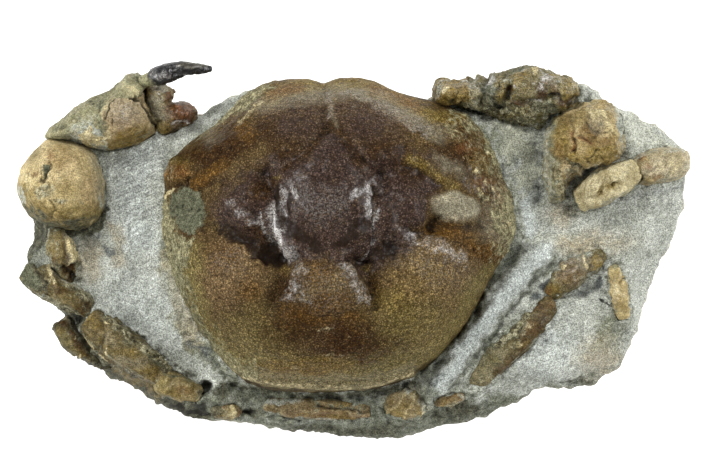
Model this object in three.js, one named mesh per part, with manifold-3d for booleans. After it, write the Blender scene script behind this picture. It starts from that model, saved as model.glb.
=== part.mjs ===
// A fossil crab, back up, in the piece of siltstone that it was found in.
// Millimetres, +Z up. The crab faces +Y, its left side is towards -X, and the stone stands on a
// small flat spot at z = 0. The origin is under the middle of the whole piece, on that spot.
//
// Every fossil piece is a closed solid of its own, set in a pocket of the stone. Two makers shape
// them: a boss, a dome that rises inside a closed outline, and a limb, a bar of oval section
// along a curved path. Both are lofts: closed rings of points, joined one to the next.

import * as THREE from "three";
import { ImprovedNoise } from "three/addons/math/ImprovedNoise.js";
import { mergeVertices } from "three/addons/utils/BufferGeometryUtils.js";
import Module from "manifold-3d";

const wasm = await Module();
wasm.setup();

// ---- Driving dimensions ---------------------------------------------------------------------

const GAP = 0.3; // clear space between a fossil piece and what it is set in or against
const STONE_TOP = 22.5; // general level of the stone's upper surface
const SHELL_DOME = 21; // rise of the back shell above its own margin
const SHELL_MARGIN = 23.5; // height of the back shell's margin
const SHELL_WALL = 3.5; // how far the back shell reaches down below its margin
const MIDLINE = -5.7; // x of the crab's plane of symmetry

// ---- Small maths ----------------------------------------------------------------------------

const perlin = new ImprovedNoise();
const smooth = (low, high, value) => THREE.MathUtils.smoothstep(value, low, high);

// Rough ground: two octaves of noise, about -1 to 1, with lumps `size` across.
function rough(x, y, size, seed) {
  const coarse = perlin.noise(x / size, y / size, seed);
  const fine = perlin.noise((2.1 * x) / size, (2.1 * y) / size, seed + 7.3);
  return coarse + 0.45 * fine;
}

function distanceToPath(x, y, path) {
  let nearest = Infinity;
  for (let i = 1; i < path.length; i++) {
    const [ax, ay] = path[i - 1];
    const [bx, by] = path[i];
    const [dx, dy] = [bx - ax, by - ay];
    const along = ((x - ax) * dx + (y - ay) * dy) / (dx * dx + dy * dy);
    const share = THREE.MathUtils.clamp(along, 0, 1);
    nearest = Math.min(nearest, Math.hypot(x - ax - share * dx, y - ay - share * dy));
  }
  return nearest;
}

// Swellings are soft round hills, creases are soft lines along a path. A negative rise sinks.
function relief(x, y, { swellings = [], creases = [] }) {
  let z = 0;
  for (const { at, size, rise } of swellings)
    z += rise * Math.exp(-(((x - at[0]) / size[0]) ** 2) - ((y - at[1]) / size[1]) ** 2);
  for (const { path, width, rise } of creases)
    z += rise * Math.exp(-((distanceToPath(x, y, path) / width) ** 2));
  return z;
}

// ---- Solids ---------------------------------------------------------------------------------

function solidFrom(positions, triangles) {
  const geometry = new THREE.BufferGeometry();
  geometry.setAttribute("position", new THREE.Float32BufferAttribute(positions, 3));
  geometry.setIndex([...triangles]);
  const merged = mergeVertices(geometry, 1e-4);
  const mesh = new wasm.Mesh({
    numProp: 3,
    vertProperties: merged.attributes.position.array,
    triVerts: new Uint32Array(merged.index.array),
  });
  return new wasm.Manifold(mesh);
}

// Joins closed rings of points, each with as many points as the next. Seen along the loft, from
// its first ring to its last, the rings run clockwise. The first ring is closed by a fan around
// `pole`, and the last by a strip across it, so a long last ring makes a rounded ridge. Each
// four-sided cell is split along its shorter diagonal, which follows ridges and grooves.
function loft(pole, rings) {
  const around = rings[0].length;
  const points = [pole, ...rings.flat()];
  const triangles = [];
  const at = (ring, i) => 1 + ring * around + (i % around);
  const between = (i, j) => points[i].distanceToSquared(points[j]);
  for (let i = 0; i < around; i++) {
    triangles.push(0, at(0, i + 1), at(0, i));
    for (let ring = 1; ring < rings.length; ring++) {
      const [a, b] = [at(ring - 1, i), at(ring - 1, i + 1)];
      const [c, d] = [at(ring, i + 1), at(ring, i)];
      if (between(a, c) <= between(b, d)) triangles.push(a, b, c, a, c, d);
      else triangles.push(a, b, d, b, c, d);
    }
  }
  let left = at(rings.length - 1, 0);
  let right = left + around - 1;
  while (right - left > 1) {
    const goLeft = between(left + 1, right) <= between(left, right - 1);
    triangles.push(left, goLeft ? left + 1 : right - 1, right);
    if (goLeft) left += 1;
    else right -= 1;
  }
  return solidFrom(points.flatMap((point) => point.toArray()), triangles);
}

// `around` points, evenly spaced along the smooth closed curve through the outline's points.
// The outlines below are listed clockwise, so the points are turned round.
function spacedOutline(outline, around) {
  const points = outline.map(([x, y]) => new THREE.Vector3(x, y, 0));
  const curve = new THREE.CatmullRomCurve3(points, true, "centripetal");
  return curve.getSpacedPoints(around).slice(0, around).reverse();
}

// A dome inside an outline. `floor` and `top` list its rings as [share, height]. The share runs
// from 0 at the spine, a short line that the dome is drawn up to, to 1 at the outline. A height
// may depend on x, y, the share and the inset, how far in from the outline the point lies. With a
// `hub`, the top's shares are 0 at the hub's edge. `grow` makes the dome larger all round.
function boss({ outline, spine, hub, around, floor, top }, grow) {
  const line = new THREE.Line3(...spine.map(([x, y]) => new THREE.Vector3(x, y, 0)));
  const backwards = line.start.clone().sub(line.end);
  const spokes = spacedOutline(outline, around).map((rim) => {
    const foot = line.closestPointToPoint(rim, true, new THREE.Vector3());
    const spoke = rim.sub(foot);
    const inner = hub ? hub(spoke) : 0;
    return { foot, direction: spoke.clone().normalize(), inner, outer: spoke.length() };
  });
  // The first spoke carries on from the spine's start, so that the last ring closes across it.
  const offLine = ({ foot, direction }) => line.end.distanceTo(foot) + direction.dot(backwards);
  const first = spokes.indexOf(spokes.reduce((a, b) => (offLine(b) > offLine(a) ? b : a)));
  spokes.push(...spokes.splice(0, first));

  const heightAt = (height, point, share, inset) =>
    typeof height === "function" ? height(point.x, point.y, share, inset) : height;
  const ringOf = ([share, height], sign) =>
    spokes.map(({ foot, direction, inner, outer }) => {
      const reach = THREE.MathUtils.lerp(sign > 0 ? inner : 0, outer, share);
      const point = foot.clone().addScaledVector(direction, reach);
      const z = heightAt(height, point, share, outer - reach) + sign * grow;
      return point.addScaledVector(direction, share * grow).setZ(z);
    });
  const middle = line.getCenter(new THREE.Vector3());
  const pole = middle.setZ(heightAt(floor[0][1], middle, 0, Infinity) - grow);
  return loft(pole, [
    ...floor.map((ring) => ringOf(ring, -1)),
    ...top.map((ring) => ringOf(ring, 1)),
  ]);
}

// A bar along a smooth path of [x, y, z] points. `widths` and `heights` are half sizes, spread
// evenly along it. `squareness` below 1 makes its section boxier than an oval, and `bluntness` is
// the share of the section that is left at each end.
function limb(shape, grow) {
  const { path, widths, heights, sides = 8, steps = 5, bluntness = 0.85, squareness = 0.8 } = shape;
  const curve = new THREE.CatmullRomCurve3(path.map((p) => new THREE.Vector3(...p)));
  const sizeAt = (sizes, share) => {
    const place = share * (sizes.length - 1);
    const index = Math.min(Math.floor(place), sizes.length - 2);
    return THREE.MathUtils.lerp(sizes[index], sizes[index + 1], place - index);
  };
  const boxy = (value) => Math.sign(value) * Math.abs(value) ** squareness;
  const up = new THREE.Vector3(0, 0, 1);
  const rings = [];
  for (let step = 0; step <= steps; step++) {
    const share = step / steps;
    const forward = curve.getTangentAt(share);
    const side = new THREE.Vector3().crossVectors(up, forward).normalize();
    const over = new THREE.Vector3().crossVectors(forward, side);
    const isEnd = step === 0 || step === steps;
    const part = isEnd ? bluntness : 1;
    const centre = curve.getPointAt(share);
    if (isEnd) centre.addScaledVector(forward, (step ? 1 : -1) * grow);
    const width = part * sizeAt(widths, share) + grow;
    const height = part * sizeAt(heights, share) + grow;
    rings.push(
      Array.from({ length: sides }, (_, i) => {
        const angle = (2 * Math.PI * i) / sides;
        return centre
          .clone()
          .addScaledVector(side, width * boxy(Math.cos(angle)))
          .addScaledVector(over, height * boxy(Math.sin(angle)));
      }),
    );
  }
  return loft(curve.getPointAt(0).addScaledVector(curve.getTangentAt(0), -grow), rings);
}

// A boolean cut can leave loose crumbs: this keeps the piece with the most stone in it.
function largestBody(solid) {
  return solid.decompose().reduce((a, b) => (b.volume() > a.volume() ? b : a));
}

// ---- The assembly ---------------------------------------------------------------------------

const object = new THREE.Group();
object.name = "fossil_crab";
const setPieces = []; // every fossil piece so far, grown by the gap

function addMesh(name, solid, material) {
  const { vertProperties, triVerts } = solid.getMesh();
  const geometry = new THREE.BufferGeometry();
  geometry.setAttribute("position", new THREE.BufferAttribute(vertProperties, 3));
  geometry.setIndex(new THREE.BufferAttribute(triVerts, 1));
  geometry.computeVertexNormals();
  const mesh = new THREE.Mesh(geometry, material);
  mesh.name = name;
  object.add(mesh);
}

// Adds a fossil piece, cut back from the pieces set before it, so that each keeps the gap.
function setPiece(name, maker, shape, material) {
  const cut = setPieces.reduce((solid, other) => solid.subtract(other), maker(shape, 0));
  addMesh(name, largestBody(cut), material);
  setPieces.push(maker(shape, GAP));
}

function finish(color, roughness) {
  return new THREE.MeshStandardMaterial({ color, roughness, metalness: 0 });
}

const greyStone = finish(0x9b9b92, 0.95);
const brownShell = finish(0x4a2f1c, 0.4);
const tanShell = finish(0xa5875a, 0.6);
const oliveShell = finish(0x7a6238, 0.5);
const creamShell = finish(0xcbbb92, 0.7);
const crushedShell = finish(0x7d7049, 0.7);
const blackShell = finish(0x24211f, 0.35);

// ---- Back shell -----------------------------------------------------------------------------

const SHELL_OUTLINE = [
  [-5.8, 33.0], [-4.0, 33.9], [-0.6, 34.3], [3.4, 33.9], [5.0, 33.0], [8.4, 31.6], [12.4, 30.4],
  [15.8, 29.8], [20.4, 28.0], [23.8, 25.8], [26.6, 22.4], [28.8, 18.0], [30.2, 13.0], [32.0, 8.0],
  [32.6, 3.6], [29.8, -1.2], [26.6, -7.0], [23.4, -13.0], [19.4, -18.4], [15.0, -22.8],
  [9.4, -26.2], [3.4, -27.6], [-3.6, -28.2], [-10.6, -28.2], [-17.6, -27.4], [-22.0, -25.6],
  [-26.2, -21.4], [-30.0, -16.4], [-33.0, -11.0], [-35.4, -5.6], [-37.2, 0.0], [-38.0, 5.6],
  [-37.6, 11.0], [-37.2, 15.6], [-34.6, 19.6], [-30.0, 23.0], [-25.8, 26.6], [-22.0, 30.4],
  [-18.2, 33.0], [-14.6, 33.8], [-10.6, 34.1], [-7.6, 33.8],
];

// What both halves of the back shell share, as [distance from the midline, y].
const SHELL_HALF = {
  swellings: [
    { at: [0, 11], size: [8, 9], rise: 1.8 }, // stomach region
    { at: [9.5, 22], size: [7, 5.5], rise: 0.9 }, // brow
    { at: [16.5, 8.5], size: [5.5, 5], rise: 2.2 }, // shoulder lobe
    { at: [24, 17], size: [5, 4.5], rise: 1.0 }, // liver region
    { at: [0, -7], size: [6, 4.6], rise: 2.2 }, // heart region
    { at: [4.6, -4.6], size: [2.2, 2.4], rise: 1.0 }, // its two humps
    { at: [19.5, -8.5], size: [9.5, 9], rise: 3.0 }, // gill region
    { at: [10, -6], size: [2.8, 3.4], rise: -1.8 }, // pit beside the heart region
  ],
  creases: [
    { path: [[11, 14.5], [9, 8], [9.4, 3], [7.2, -1.5]], width: 2.0, rise: -2.4 },
    { path: [[7.5, -2.2], [12.5, -0.8], [17, 1.6], [22, 5]], width: 2.2, rise: -2.4 },
    { path: [[6.6, -3], [8.6, -7.5], [10.2, -11]], width: 1.9, rise: -2.0 },
    { path: [[11, 14.5], [15, 15.5], [20, 14.5], [31, 9]], width: 2.4, rise: -1.5 },
    { path: [[0, 33], [0, 24], [3.6, 20], [8, 17.5]], width: 1.5, rise: -1.0 },
    { path: [[0, -24.2], [9, -23.6], [16, -20.6]], width: 1.6, rise: -0.9 },
  ],
};

// What only one side has: a stone-filled gap in the left of the shell, a pale lump on the right.
const SHELL_ONE_SIDED = {
  swellings: [
    { at: [-32.2, 6.4], size: [4, 5.4], rise: -1.0 },
    { at: [20.4, 9], size: [4.4, 2.8], rise: 1.6 },
    { at: [29, 12], size: [2.6, 2.6], rise: 1.4 },
    { at: [27, 20], size: [2.6, 2.4], rise: 1.2 },
    { at: [-34, 14], size: [3.4, 3], rise: 1.3 },
  ],
  creases: [{ path: [[16.5, 6.2], [25.2, 4.6]], width: 1.4, rise: -1.3 }],
};

// The dome's own curve: steep at the brow and sides, gentler towards the rear margin.
function shellHeight(x, y, share) {
  const steepness = THREE.MathUtils.lerp(0.56, 0.74, smooth(6, -24, y));
  const dome = SHELL_DOME * (1 - share ** 2.3) ** steepness;
  const fade = 1 - share ** 10; // the margin itself stays a clean line
  const halves = relief(Math.abs(x - MIDLINE), y, SHELL_HALF);
  return SHELL_MARGIN + dome + fade * (halves + relief(x, y, SHELL_ONE_SIDED));
}

const shellRings = [
  1, 0.98, 0.935, 0.87, 0.8, 0.73, 0.66, 0.59, 0.52, 0.45, 0.38, 0.31, 0.24, 0.17, 0.09,
];

setPiece("carapace", boss, {
  outline: SHELL_OUTLINE,
  spine: [[MIDLINE, -8], [MIDLINE, 13]],
  around: 64,
  floor: [[0.955, SHELL_MARGIN - SHELL_WALL]],
  top: shellRings.map((share) => [share, shellHeight]),
}, brownShell);

// ---- Claws and wrists -----------------------------------------------------------------------

// A swollen piece: a dome of rise `dome` over its margin, with lumps of the size and height that
// `lumps` gives. It is rooted in the stone by `root` below its margin, where it is narrower.
function swollen({ outline, spine, margin, dome, root, around, lumps, form = {} }) {
  const height = (x, y, share) => {
    const rise = dome * (1 - share ** 2.4) ** 0.6;
    const lump = lumps.rise * rough(x, y, lumps.size, lumps.seed) + relief(x, y, form);
    return margin + rise + (1 - share ** 6) * lump;
  };
  return {
    outline,
    spine,
    around,
    floor: [[0.8, margin - root]],
    top: [1, 0.95, 0.83, 0.65, 0.4, 0.12].map((share) => [share, height]),
  };
}

setPiece("left_wrist", boss, swollen({
  outline: [
    [-58.6, 21.8], [-53.8, 20.2], [-50.8, 17.4], [-49.6, 13.0], [-50.0, 9.0], [-51.6, 5.6],
    [-55.0, 3.8], [-59.0, 4.2], [-63.0, 5.6], [-65.6, 8.0], [-67.2, 12.0], [-66.8, 15.6],
    [-64.6, 18.8], [-62.2, 21.2],
  ],
  spine: [[-58.6, 11], [-58, 14.5]],
  margin: 20.5,
  dome: 12,
  root: 7,
  around: 22,
  lumps: { rise: 0.5, size: 7, seed: 1.1 },
  form: { swellings: [{ at: [-62.4, 15.6], size: [2, 2.4], rise: -1.4 }] },
}), tanShell);

setPiece("left_palm", boss, swollen({
  outline: [
    [-61.8, 22.6], [-58.6, 25.8], [-54.2, 29.4], [-50.0, 31.6], [-47.0, 33.0], [-45.6, 34.8],
    [-43.4, 35.4], [-41.4, 34.2], [-42.4, 31.8], [-41.0, 28.4], [-39.4, 25.2], [-40.6, 22.6],
    [-44.6, 20.8], [-48.6, 20.0], [-52.6, 20.6], [-57.4, 22.0],
  ],
  spine: [[-55, 24], [-45.4, 27.8]],
  margin: 20.5,
  dome: 8.5,
  root: 6,
  around: 26,
  lumps: { rise: 0.9, size: 5, seed: 2.7 },
  form: { swellings: [{ at: [-45, 26], size: [4.4, 5], rise: 2.2 }] },
}), tanShell);

setPiece("left_fixed_finger", boss, swollen({
  outline: [
    [-40.6, 33.2], [-38.0, 33.2], [-36.2, 32.6], [-36.0, 31.0], [-36.4, 29.4], [-33.8, 29.2],
    [-32.0, 28.2], [-31.2, 26.8], [-33.0, 25.4], [-35.4, 24.4], [-38.0, 23.2], [-39.2, 25.6],
    [-40.6, 28.4], [-41.8, 31.0],
  ],
  spine: [[-38.8, 29.6], [-37, 27.2]],
  margin: 21,
  dome: 6,
  root: 4,
  around: 20,
  lumps: { rise: 0.8, size: 3.5, seed: 4.2 },
}), oliveShell);

setPiece("right_wrist", boss, swollen({
  outline: [
    [39.0, 24.4], [41.4, 27.4], [45.4, 29.0], [49.8, 29.8], [52.6, 28.2], [54.4, 24.0],
    [54.4, 20.0], [51.8, 17.6], [48.2, 16.0], [45.0, 14.4], [42.6, 10.8], [40.0, 8.8],
    [38.4, 12.8], [38.0, 19.0],
  ],
  spine: [[41.6, 15], [47, 23.4]],
  margin: 21.5,
  dome: 8.5,
  root: 5,
  around: 24,
  lumps: { rise: 1.0, size: 5, seed: 5.9 },
  form: { swellings: [{ at: [43.5, 16], size: [2.4, 2.4], rise: -2.4 }] },
}), tanShell);

setPiece("right_claw", boss, swollen({
  outline: [
    [16.2, 29.8], [17.4, 33.2], [20.6, 33.0], [24.6, 34.2], [28.2, 35.0], [31.6, 36.2],
    [35.4, 36.8], [38.6, 36.2], [41.6, 34.6], [44.2, 33.2], [45.8, 31.0], [43.8, 29.4],
    [40.6, 27.6], [38.4, 24.8], [34.6, 23.6], [31.0, 25.0], [27.4, 26.8], [23.4, 28.0],
    [19.4, 28.6],
  ],
  spine: [[20, 31], [41.5, 31]],
  margin: 20.5,
  dome: 7.5,
  root: 5,
  around: 34,
  lumps: { rise: 0.9, size: 4, seed: 8.3 },
  form: {
    swellings: [
      { at: [20.4, 31.6], size: [2.2, 1.8], rise: 1.2 },
      { at: [26.8, 31.4], size: [2.4, 2.2], rise: 2.2 },
      { at: [32.6, 33.2], size: [2.6, 2.0], rise: 2.0 },
      { at: [37.4, 31.0], size: [2.8, 2.4], rise: 2.4 },
      { at: [33.8, 27.6], size: [2.4, 2.4], rise: 1.8 },
      { at: [42.4, 31.4], size: [2.0, 1.8], rise: 1.4 },
      { at: [30.0, 29.2], size: [1.8, 1.8], rise: -2.0 },
    ],
  },
}), crushedShell);

// ---- Legs and the free finger ---------------------------------------------------------------

setPiece("left_moving_finger", limb, {
  path: [
    [-42.2, 33.6, 25.4], [-38.6, 34.7, 27.4], [-35.8, 35.8, 28.0], [-32.6, 36.1, 27.8],
    [-30.0, 36.2, 27.2], [-28.4, 36.1, 26.6],
  ],
  widths: [1.2, 1.4, 1.8, 1.5, 1.0, 0.6],
  heights: [1.2, 1.4, 1.6, 1.3, 0.9, 0.5],
}, blackShell);

setPiece("left_leg_front_joint", limb, {
  path: [[-59.4, 4.0, 22.4], [-59.0, 0.8, 23.6], [-57.8, -2.6, 23.4], [-56.0, -6.0, 22.0]],
  widths: [1.5, 2.6, 2.8, 1.6],
  heights: [2.0, 3.0, 3.0, 2.0],
}, oliveShell);

setPiece("left_leg_front_shaft", limb, {
  path: [[-65.6, -4.4, 21.3], [-61.6, -6.8, 22.4], [-56.6, -9.8, 22.6], [-53.0, -12.0, 21.8]],
  widths: [2.4, 2.9, 2.8, 2.2],
  heights: [2.6, 3.2, 3.2, 2.6],
}, oliveShell);

setPiece("left_leg_rear_shaft", limb, {
  path: [
    [-52.8, -13.8, 22.2], [-47.6, -18.2, 22.8], [-42.6, -21.8, 22.4], [-37.8, -25.2, 21.6],
  ],
  widths: [3.1, 3.8, 3.6, 2.8],
  heights: [3.2, 3.8, 3.4, 2.8],
}, oliveShell);

setPiece("left_leg_rear_joint", limb, {
  path: [[-38.2, -25.8, 21.4], [-34.2, -27.8, 21.6], [-30.8, -29.0, 20.8]],
  widths: [2.2, 2.5, 1.8],
  heights: [2.4, 2.6, 2.0],
}, tanShell);

setPiece("left_leg_edge_plate", limb, {
  path: [[-58.4, -14.2, 20.6], [-55.8, -17.6, 20.8], [-52.4, -20.8, 20.2], [-48.8, -23.4, 19.4]],
  widths: [2.2, 2.2, 1.6, 1.0],
  heights: [2.4, 2.8, 2.4, 1.8],
}, oliveShell);

setPiece("hind_knob", limb, {
  path: [[-28.0, -32.4, 19.6], [-25.2, -32.4, 20.2], [-22.6, -32.1, 19.6]],
  widths: [1.2, 1.6, 1.2],
  heights: [1.6, 2.0, 1.6],
  steps: 2,
}, tanShell);

setPiece("hind_left_shaft", limb, {
  path: [[-18.0, -30.8, 19.8], [-10.6, -31.6, 20.4], [-2.6, -32.2, 20.4], [3.4, -32.2, 20.0]],
  widths: [1.2, 2.0, 2.0, 1.7],
  heights: [1.6, 2.4, 2.4, 2.0],
}, oliveShell);

setPiece("hind_right_knuckle", limb, {
  path: [[6.8, -30.8, 20.2], [11.0, -30.8, 21.2], [15.2, -30.0, 20.6]],
  widths: [2.4, 3.4, 2.6],
  heights: [2.6, 3.2, 2.6],
  bluntness: 0.65,
}, tanShell);

setPiece("right_leg_rear_strip", limb, {
  path: [[16.6, -30.6, 21.2], [19.0, -30.2, 21.6], [22.0, -29.2, 21.4]],
  widths: [0.9, 1.1, 0.9],
  heights: [1.6, 1.8, 1.6],
  steps: 2,
}, oliveShell);

setPiece("right_leg_rear_shaft", limb, {
  path: [
    [22.0, -27.6, 20.6], [25.6, -25.0, 21.2], [30.4, -20.4, 22.0], [35.4, -15.6, 22.4],
    [39.6, -11.0, 22.0],
  ],
  widths: [1.8, 2.9, 3.0, 2.7, 2.3],
  heights: [2.0, 2.8, 2.9, 2.6, 2.2],
}, oliveShell);

setPiece("right_leg_rear_joint", limb, {
  path: [[39.6, -9.0, 21.8], [42.6, -5.6, 22.6], [46.4, -2.8, 22.6], [50.0, -0.8, 21.8]],
  widths: [2.0, 3.0, 2.6, 1.6],
  heights: [2.4, 3.0, 2.8, 2.2],
}, oliveShell);

setPiece("right_leg_tip", limb, {
  path: [[52.0, -3.2, 22.0], [52.8, -7.0, 22.8], [53.6, -10.4, 22.8], [54.2, -13.4, 22.0]],
  widths: [1.2, 2.0, 1.8, 1.0],
  heights: [1.6, 2.2, 2.0, 1.4],
}, creamShell);

setPiece("right_leg_white", limb, {
  path: [[45.4, 10.0, 23.6], [49.4, 12.2, 24.6], [53.4, 14.4, 24.6], [56.4, 16.0, 24.0]],
  widths: [2.6, 3.4, 3.3, 2.6],
  heights: [3.0, 3.8, 3.6, 3.0],
}, creamShell);

setPiece("right_leg_tan", limb, {
  path: [[56.6, 15.8, 22.0], [60.4, 16.6, 22.0], [64.2, 17.4, 20.8], [66.4, 17.7, 19.8]],
  widths: [3.2, 3.5, 3.4, 2.9],
  heights: [3.6, 3.8, 3.8, 3.2],
}, tanShell);

// ---- Stone ----------------------------------------------------------------------------------

const STONE_OUTLINE = [
  [67.0, 15.0], [66.6, 11.6], [65.8, 7.0], [64.6, 3.0], [62.0, -1.8], [59.8, -7.2],
  [57.6, -13.4], [55.8, -19.0], [53.2, -23.8], [49.2, -26.4], [45.4, -26.8], [42.0, -27.2],
  [39.8, -26.4], [35.4, -28.6], [30.8, -31.8], [25.4, -33.2], [19.8, -34.8], [13.4, -36.6],
  [8.0, -37.8], [1.8, -37.4], [-6.6, -36.6], [-14.6, -35.6], [-21.6, -34.6], [-29.0, -34.0],
  [-33.6, -33.0], [-39.0, -30.4], [-45.0, -27.2], [-50.6, -23.8], [-55.4, -20.0],
  [-58.6, -16.6], [-59.0, -11.8], [-64.8, -7.8], [-66.4, -3.8], [-64.6, 0.4], [-63.0, 2.8],
  [-64.4, 5.6], [-65.6, 10.0], [-63.4, 18.0], [-61.0, 22.4], [-54.6, 27.6], [-48.2, 31.6],
  [-42.6, 30.4], [-37.6, 27.6], [-31.6, 26.4], [-26.2, 29.8], [-22.0, 32.0], [-17.6, 33.0],
  [-10.6, 33.2], [-0.6, 33.4], [5.4, 32.2], [15.4, 29.6], [17.4, 32.0], [25.4, 33.6],
  [35.4, 36.0], [41.4, 34.0], [45.4, 34.2], [47.8, 32.0], [49.4, 30.0], [52.0, 29.0],
  [54.4, 27.2], [59.4, 27.0], [61.6, 24.6], [63.8, 22.4], [66.0, 20.2],
];

const STONE_FORM = {
  swellings: [
    { at: [-42, 2], size: [6, 18], rise: -1.0 }, // the smooth hollow left of the back shell
    { at: [46, -17], size: [9, 7], rise: 0.8 }, // the bare flank on the right rear
    { at: [61, 17], size: [6, 4], rise: 1.6 }, // the seat of the tan leg segment
    { at: [47, 31], size: [3, 3], rise: 2.5 }, // the lump beside the crushed claw
    { at: [-63, 0], size: [3.4, 3.4], rise: 3.4 }, // the rough lump behind the left wrist
    { at: [-30, -27], size: [1.8, 1.8], rise: -2.5 }, // the pit behind the left rear leg
  ],
  creases: [
    { path: [[37.4, 0.6], [29.6, -9.6], [20.6, -20.4], [14.6, -27.2]], width: 2.4, rise: 2.6 },
    { path: [[13, -26.8], [5, -29.6], [-10, -30], [-22, -28.6]], width: 1.8, rise: -1.6 },
    { path: [[36.8, 21], [36.8, 12], [37.6, 2]], width: 1.6, rise: -1.8 },
    { path: [[-60.4, -12.6], [-54.6, -14.2]], width: 1.4, rise: -2.0 },
  ],
};

const RIM_DROP = 5; // how far the upper surface rounds over towards its edge

// The level around the back shell stays high enough for its pocket: the slopes set in past it.
function stoneHeight(x, y, share, inset) {
  const pastTheShell = smooth(0, 0.3, share);
  const ends = 2.0 * smooth(38, 67, Math.abs(x));
  const front = 2.5 * smooth(24, 36, y) * (1 - 0.5 * smooth(10, 20, Math.abs(x + 3)));
  const rim = RIM_DROP * (1 - smooth(0, 7, inset)) ** 1.4;
  const lumps = relief(x, y, STONE_FORM) + 0.5 * rough(x, y, 9, 3.7);
  return STONE_TOP + lumps * smooth(0, 0.08, share) - pastTheShell * (ends + front + rim);
}

// The belly, as [share of the outline, height] from the bottom up to the widest line.
const WIDEST_LINE = 14.5;
const BELLY = [[0.28, -1], [0.48, 0.3], [0.7, 2.8], [0.89, 8], [1, WIDEST_LINE]];
const BELLY_LUMPS = 1.4;

function bellyRing([share, height]) {
  const lumps = BELLY_LUMPS * share * (1 - smooth(8, WIDEST_LINE, height));
  return [share, (x, y) => height + lumps * rough(x, y, 15, 6.1)];
}

// Flat breaks in the belly, as [bearing, downward tilt]. Each starts at the stone's edge.
const BREAKS = [
  [-98, 41], [-62, 42], [-24, 46], [12, 50], [52, 46], [92, 41], [132, 42], [172, 50], [-146, 46],
];

// The half space past one break, as a block far larger than the stone.
function breakBlock([bearing, tilt]) {
  const size = 300;
  const turn = THREE.MathUtils.degToRad(bearing);
  const down = THREE.MathUtils.degToRad(tilt);
  const edge = Math.max(...STONE_OUTLINE.map(([x, y]) => x * Math.cos(turn) + y * Math.sin(turn)));
  const block = new THREE.BoxGeometry(size, size, size).translate(size / 2, 0, 0).rotateY(down);
  block.translate(edge, 0, WIDEST_LINE).rotateZ(turn);
  return solidFrom(block.attributes.position.array, block.index.array);
}

// The resting spot: everything below z = 0 is taken off.
function floorBlock() {
  const block = new THREE.BoxGeometry(300, 300, 40).translate(0, 0, -20);
  return solidFrom(block.attributes.position.array, block.index.array);
}

// The back shell's outline is the hub, so that the stone's rings run alongside the shell's margin.
const STONE_CENTRE = [MIDLINE, 3];
const HUB_SHARE = 0.94; // the innermost ring lies just under the shell
const hubRim = spacedOutline(SHELL_OUTLINE, 180).map((point) =>
  point.sub(new THREE.Vector3(...STONE_CENTRE, 0)),
);

function hubReach(spoke) {
  const nearest = hubRim.reduce((a, b) => (b.angleTo(spoke) < a.angleTo(spoke) ? b : a));
  return HUB_SHARE * nearest.length();
}

const stoneRings = [1, 0.94, 0.83, 0.68, 0.51, 0.33, 0.14, 0];

const roughStone = boss({
  outline: STONE_OUTLINE,
  spine: [STONE_CENTRE, STONE_CENTRE],
  hub: hubReach,
  around: 60,
  floor: BELLY.map(bellyRing),
  top: stoneRings.map((share) => [share, stoneHeight]),
}, 0);
const cuts = [...BREAKS.map(breakBlock), floorBlock(), ...setPieces];
addMesh("stone", largestBody(cuts.reduce((solid, cut) => solid.subtract(cut), roughStone)), greyStone);

export default object;
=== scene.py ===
"""Fossil crab in its stone: the looks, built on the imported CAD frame.

Metres in Blender, +Z up, the crab's front at +Y. Shapes are worked in millimetres and scaled at the end.
"""
import itertools
import math

import bmesh
import bpy
import numpy as np
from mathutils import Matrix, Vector
from mathutils.bvhtree import BVHTree
from mathutils.kdtree import KDTree


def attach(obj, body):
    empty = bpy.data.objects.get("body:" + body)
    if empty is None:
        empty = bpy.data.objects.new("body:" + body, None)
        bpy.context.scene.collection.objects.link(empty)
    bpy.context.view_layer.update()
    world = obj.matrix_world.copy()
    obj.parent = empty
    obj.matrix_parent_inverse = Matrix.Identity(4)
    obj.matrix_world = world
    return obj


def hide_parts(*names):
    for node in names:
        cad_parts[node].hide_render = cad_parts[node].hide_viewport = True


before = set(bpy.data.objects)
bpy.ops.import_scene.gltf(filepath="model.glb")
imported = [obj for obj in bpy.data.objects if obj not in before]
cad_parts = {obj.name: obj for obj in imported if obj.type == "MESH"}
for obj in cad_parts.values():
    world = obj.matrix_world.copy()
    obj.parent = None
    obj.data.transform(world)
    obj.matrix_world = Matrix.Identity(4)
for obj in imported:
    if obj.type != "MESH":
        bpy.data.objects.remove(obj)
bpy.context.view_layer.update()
MM = 0.001

# ---- the photograph's view -----------------------------------------------------------------------
PHOTO_SIZE = (708, 472)
CAMERA_AT = (0.2, 2.8, 1200.0)
FOCUS_HEIGHT = 24.0
PX_PER_MM = 5.0
SENSOR = 36.0


def photo_pixels(points):
    """Where the photograph shows each point, in its pixels: the plan that the marks are placed on."""
    scale = PX_PER_MM * (CAMERA_AT[2] - FOCUS_HEIGHT) / (CAMERA_AT[2] - points[:, 2])
    across = PHOTO_SIZE[0] / 2 + (points[:, 0] - CAMERA_AT[0]) * scale
    down = PHOTO_SIZE[1] / 2 - (points[:, 1] - CAMERA_AT[1]) * scale
    return np.stack([across, down], axis=1)


# ---- noise ---------------------------------------------------------------------------------------
def hashed(cells, seed):
    """A fixed random number from 0 to 1 for each whole-number cell."""
    # The multipliers are large primes, as in any integer hash.
    x, y, z = (cells[:, k].astype(np.int64).astype(np.uint32) for k in range(3))
    mixed = x * np.uint32(374761393) + y * np.uint32(668265263) + z * np.uint32(2246822519)
    mixed = mixed + np.uint32((seed * 3266489917 + 97) & 0xFFFFFFFF)
    mixed = (mixed ^ (mixed >> np.uint32(15))) * np.uint32(2246822519)
    mixed = (mixed ^ (mixed >> np.uint32(13))) * np.uint32(3266489917)
    return ((mixed ^ (mixed >> np.uint32(16))) & np.uint32(0xFFFFFF)).astype(float) / 0xFFFFFF


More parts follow.
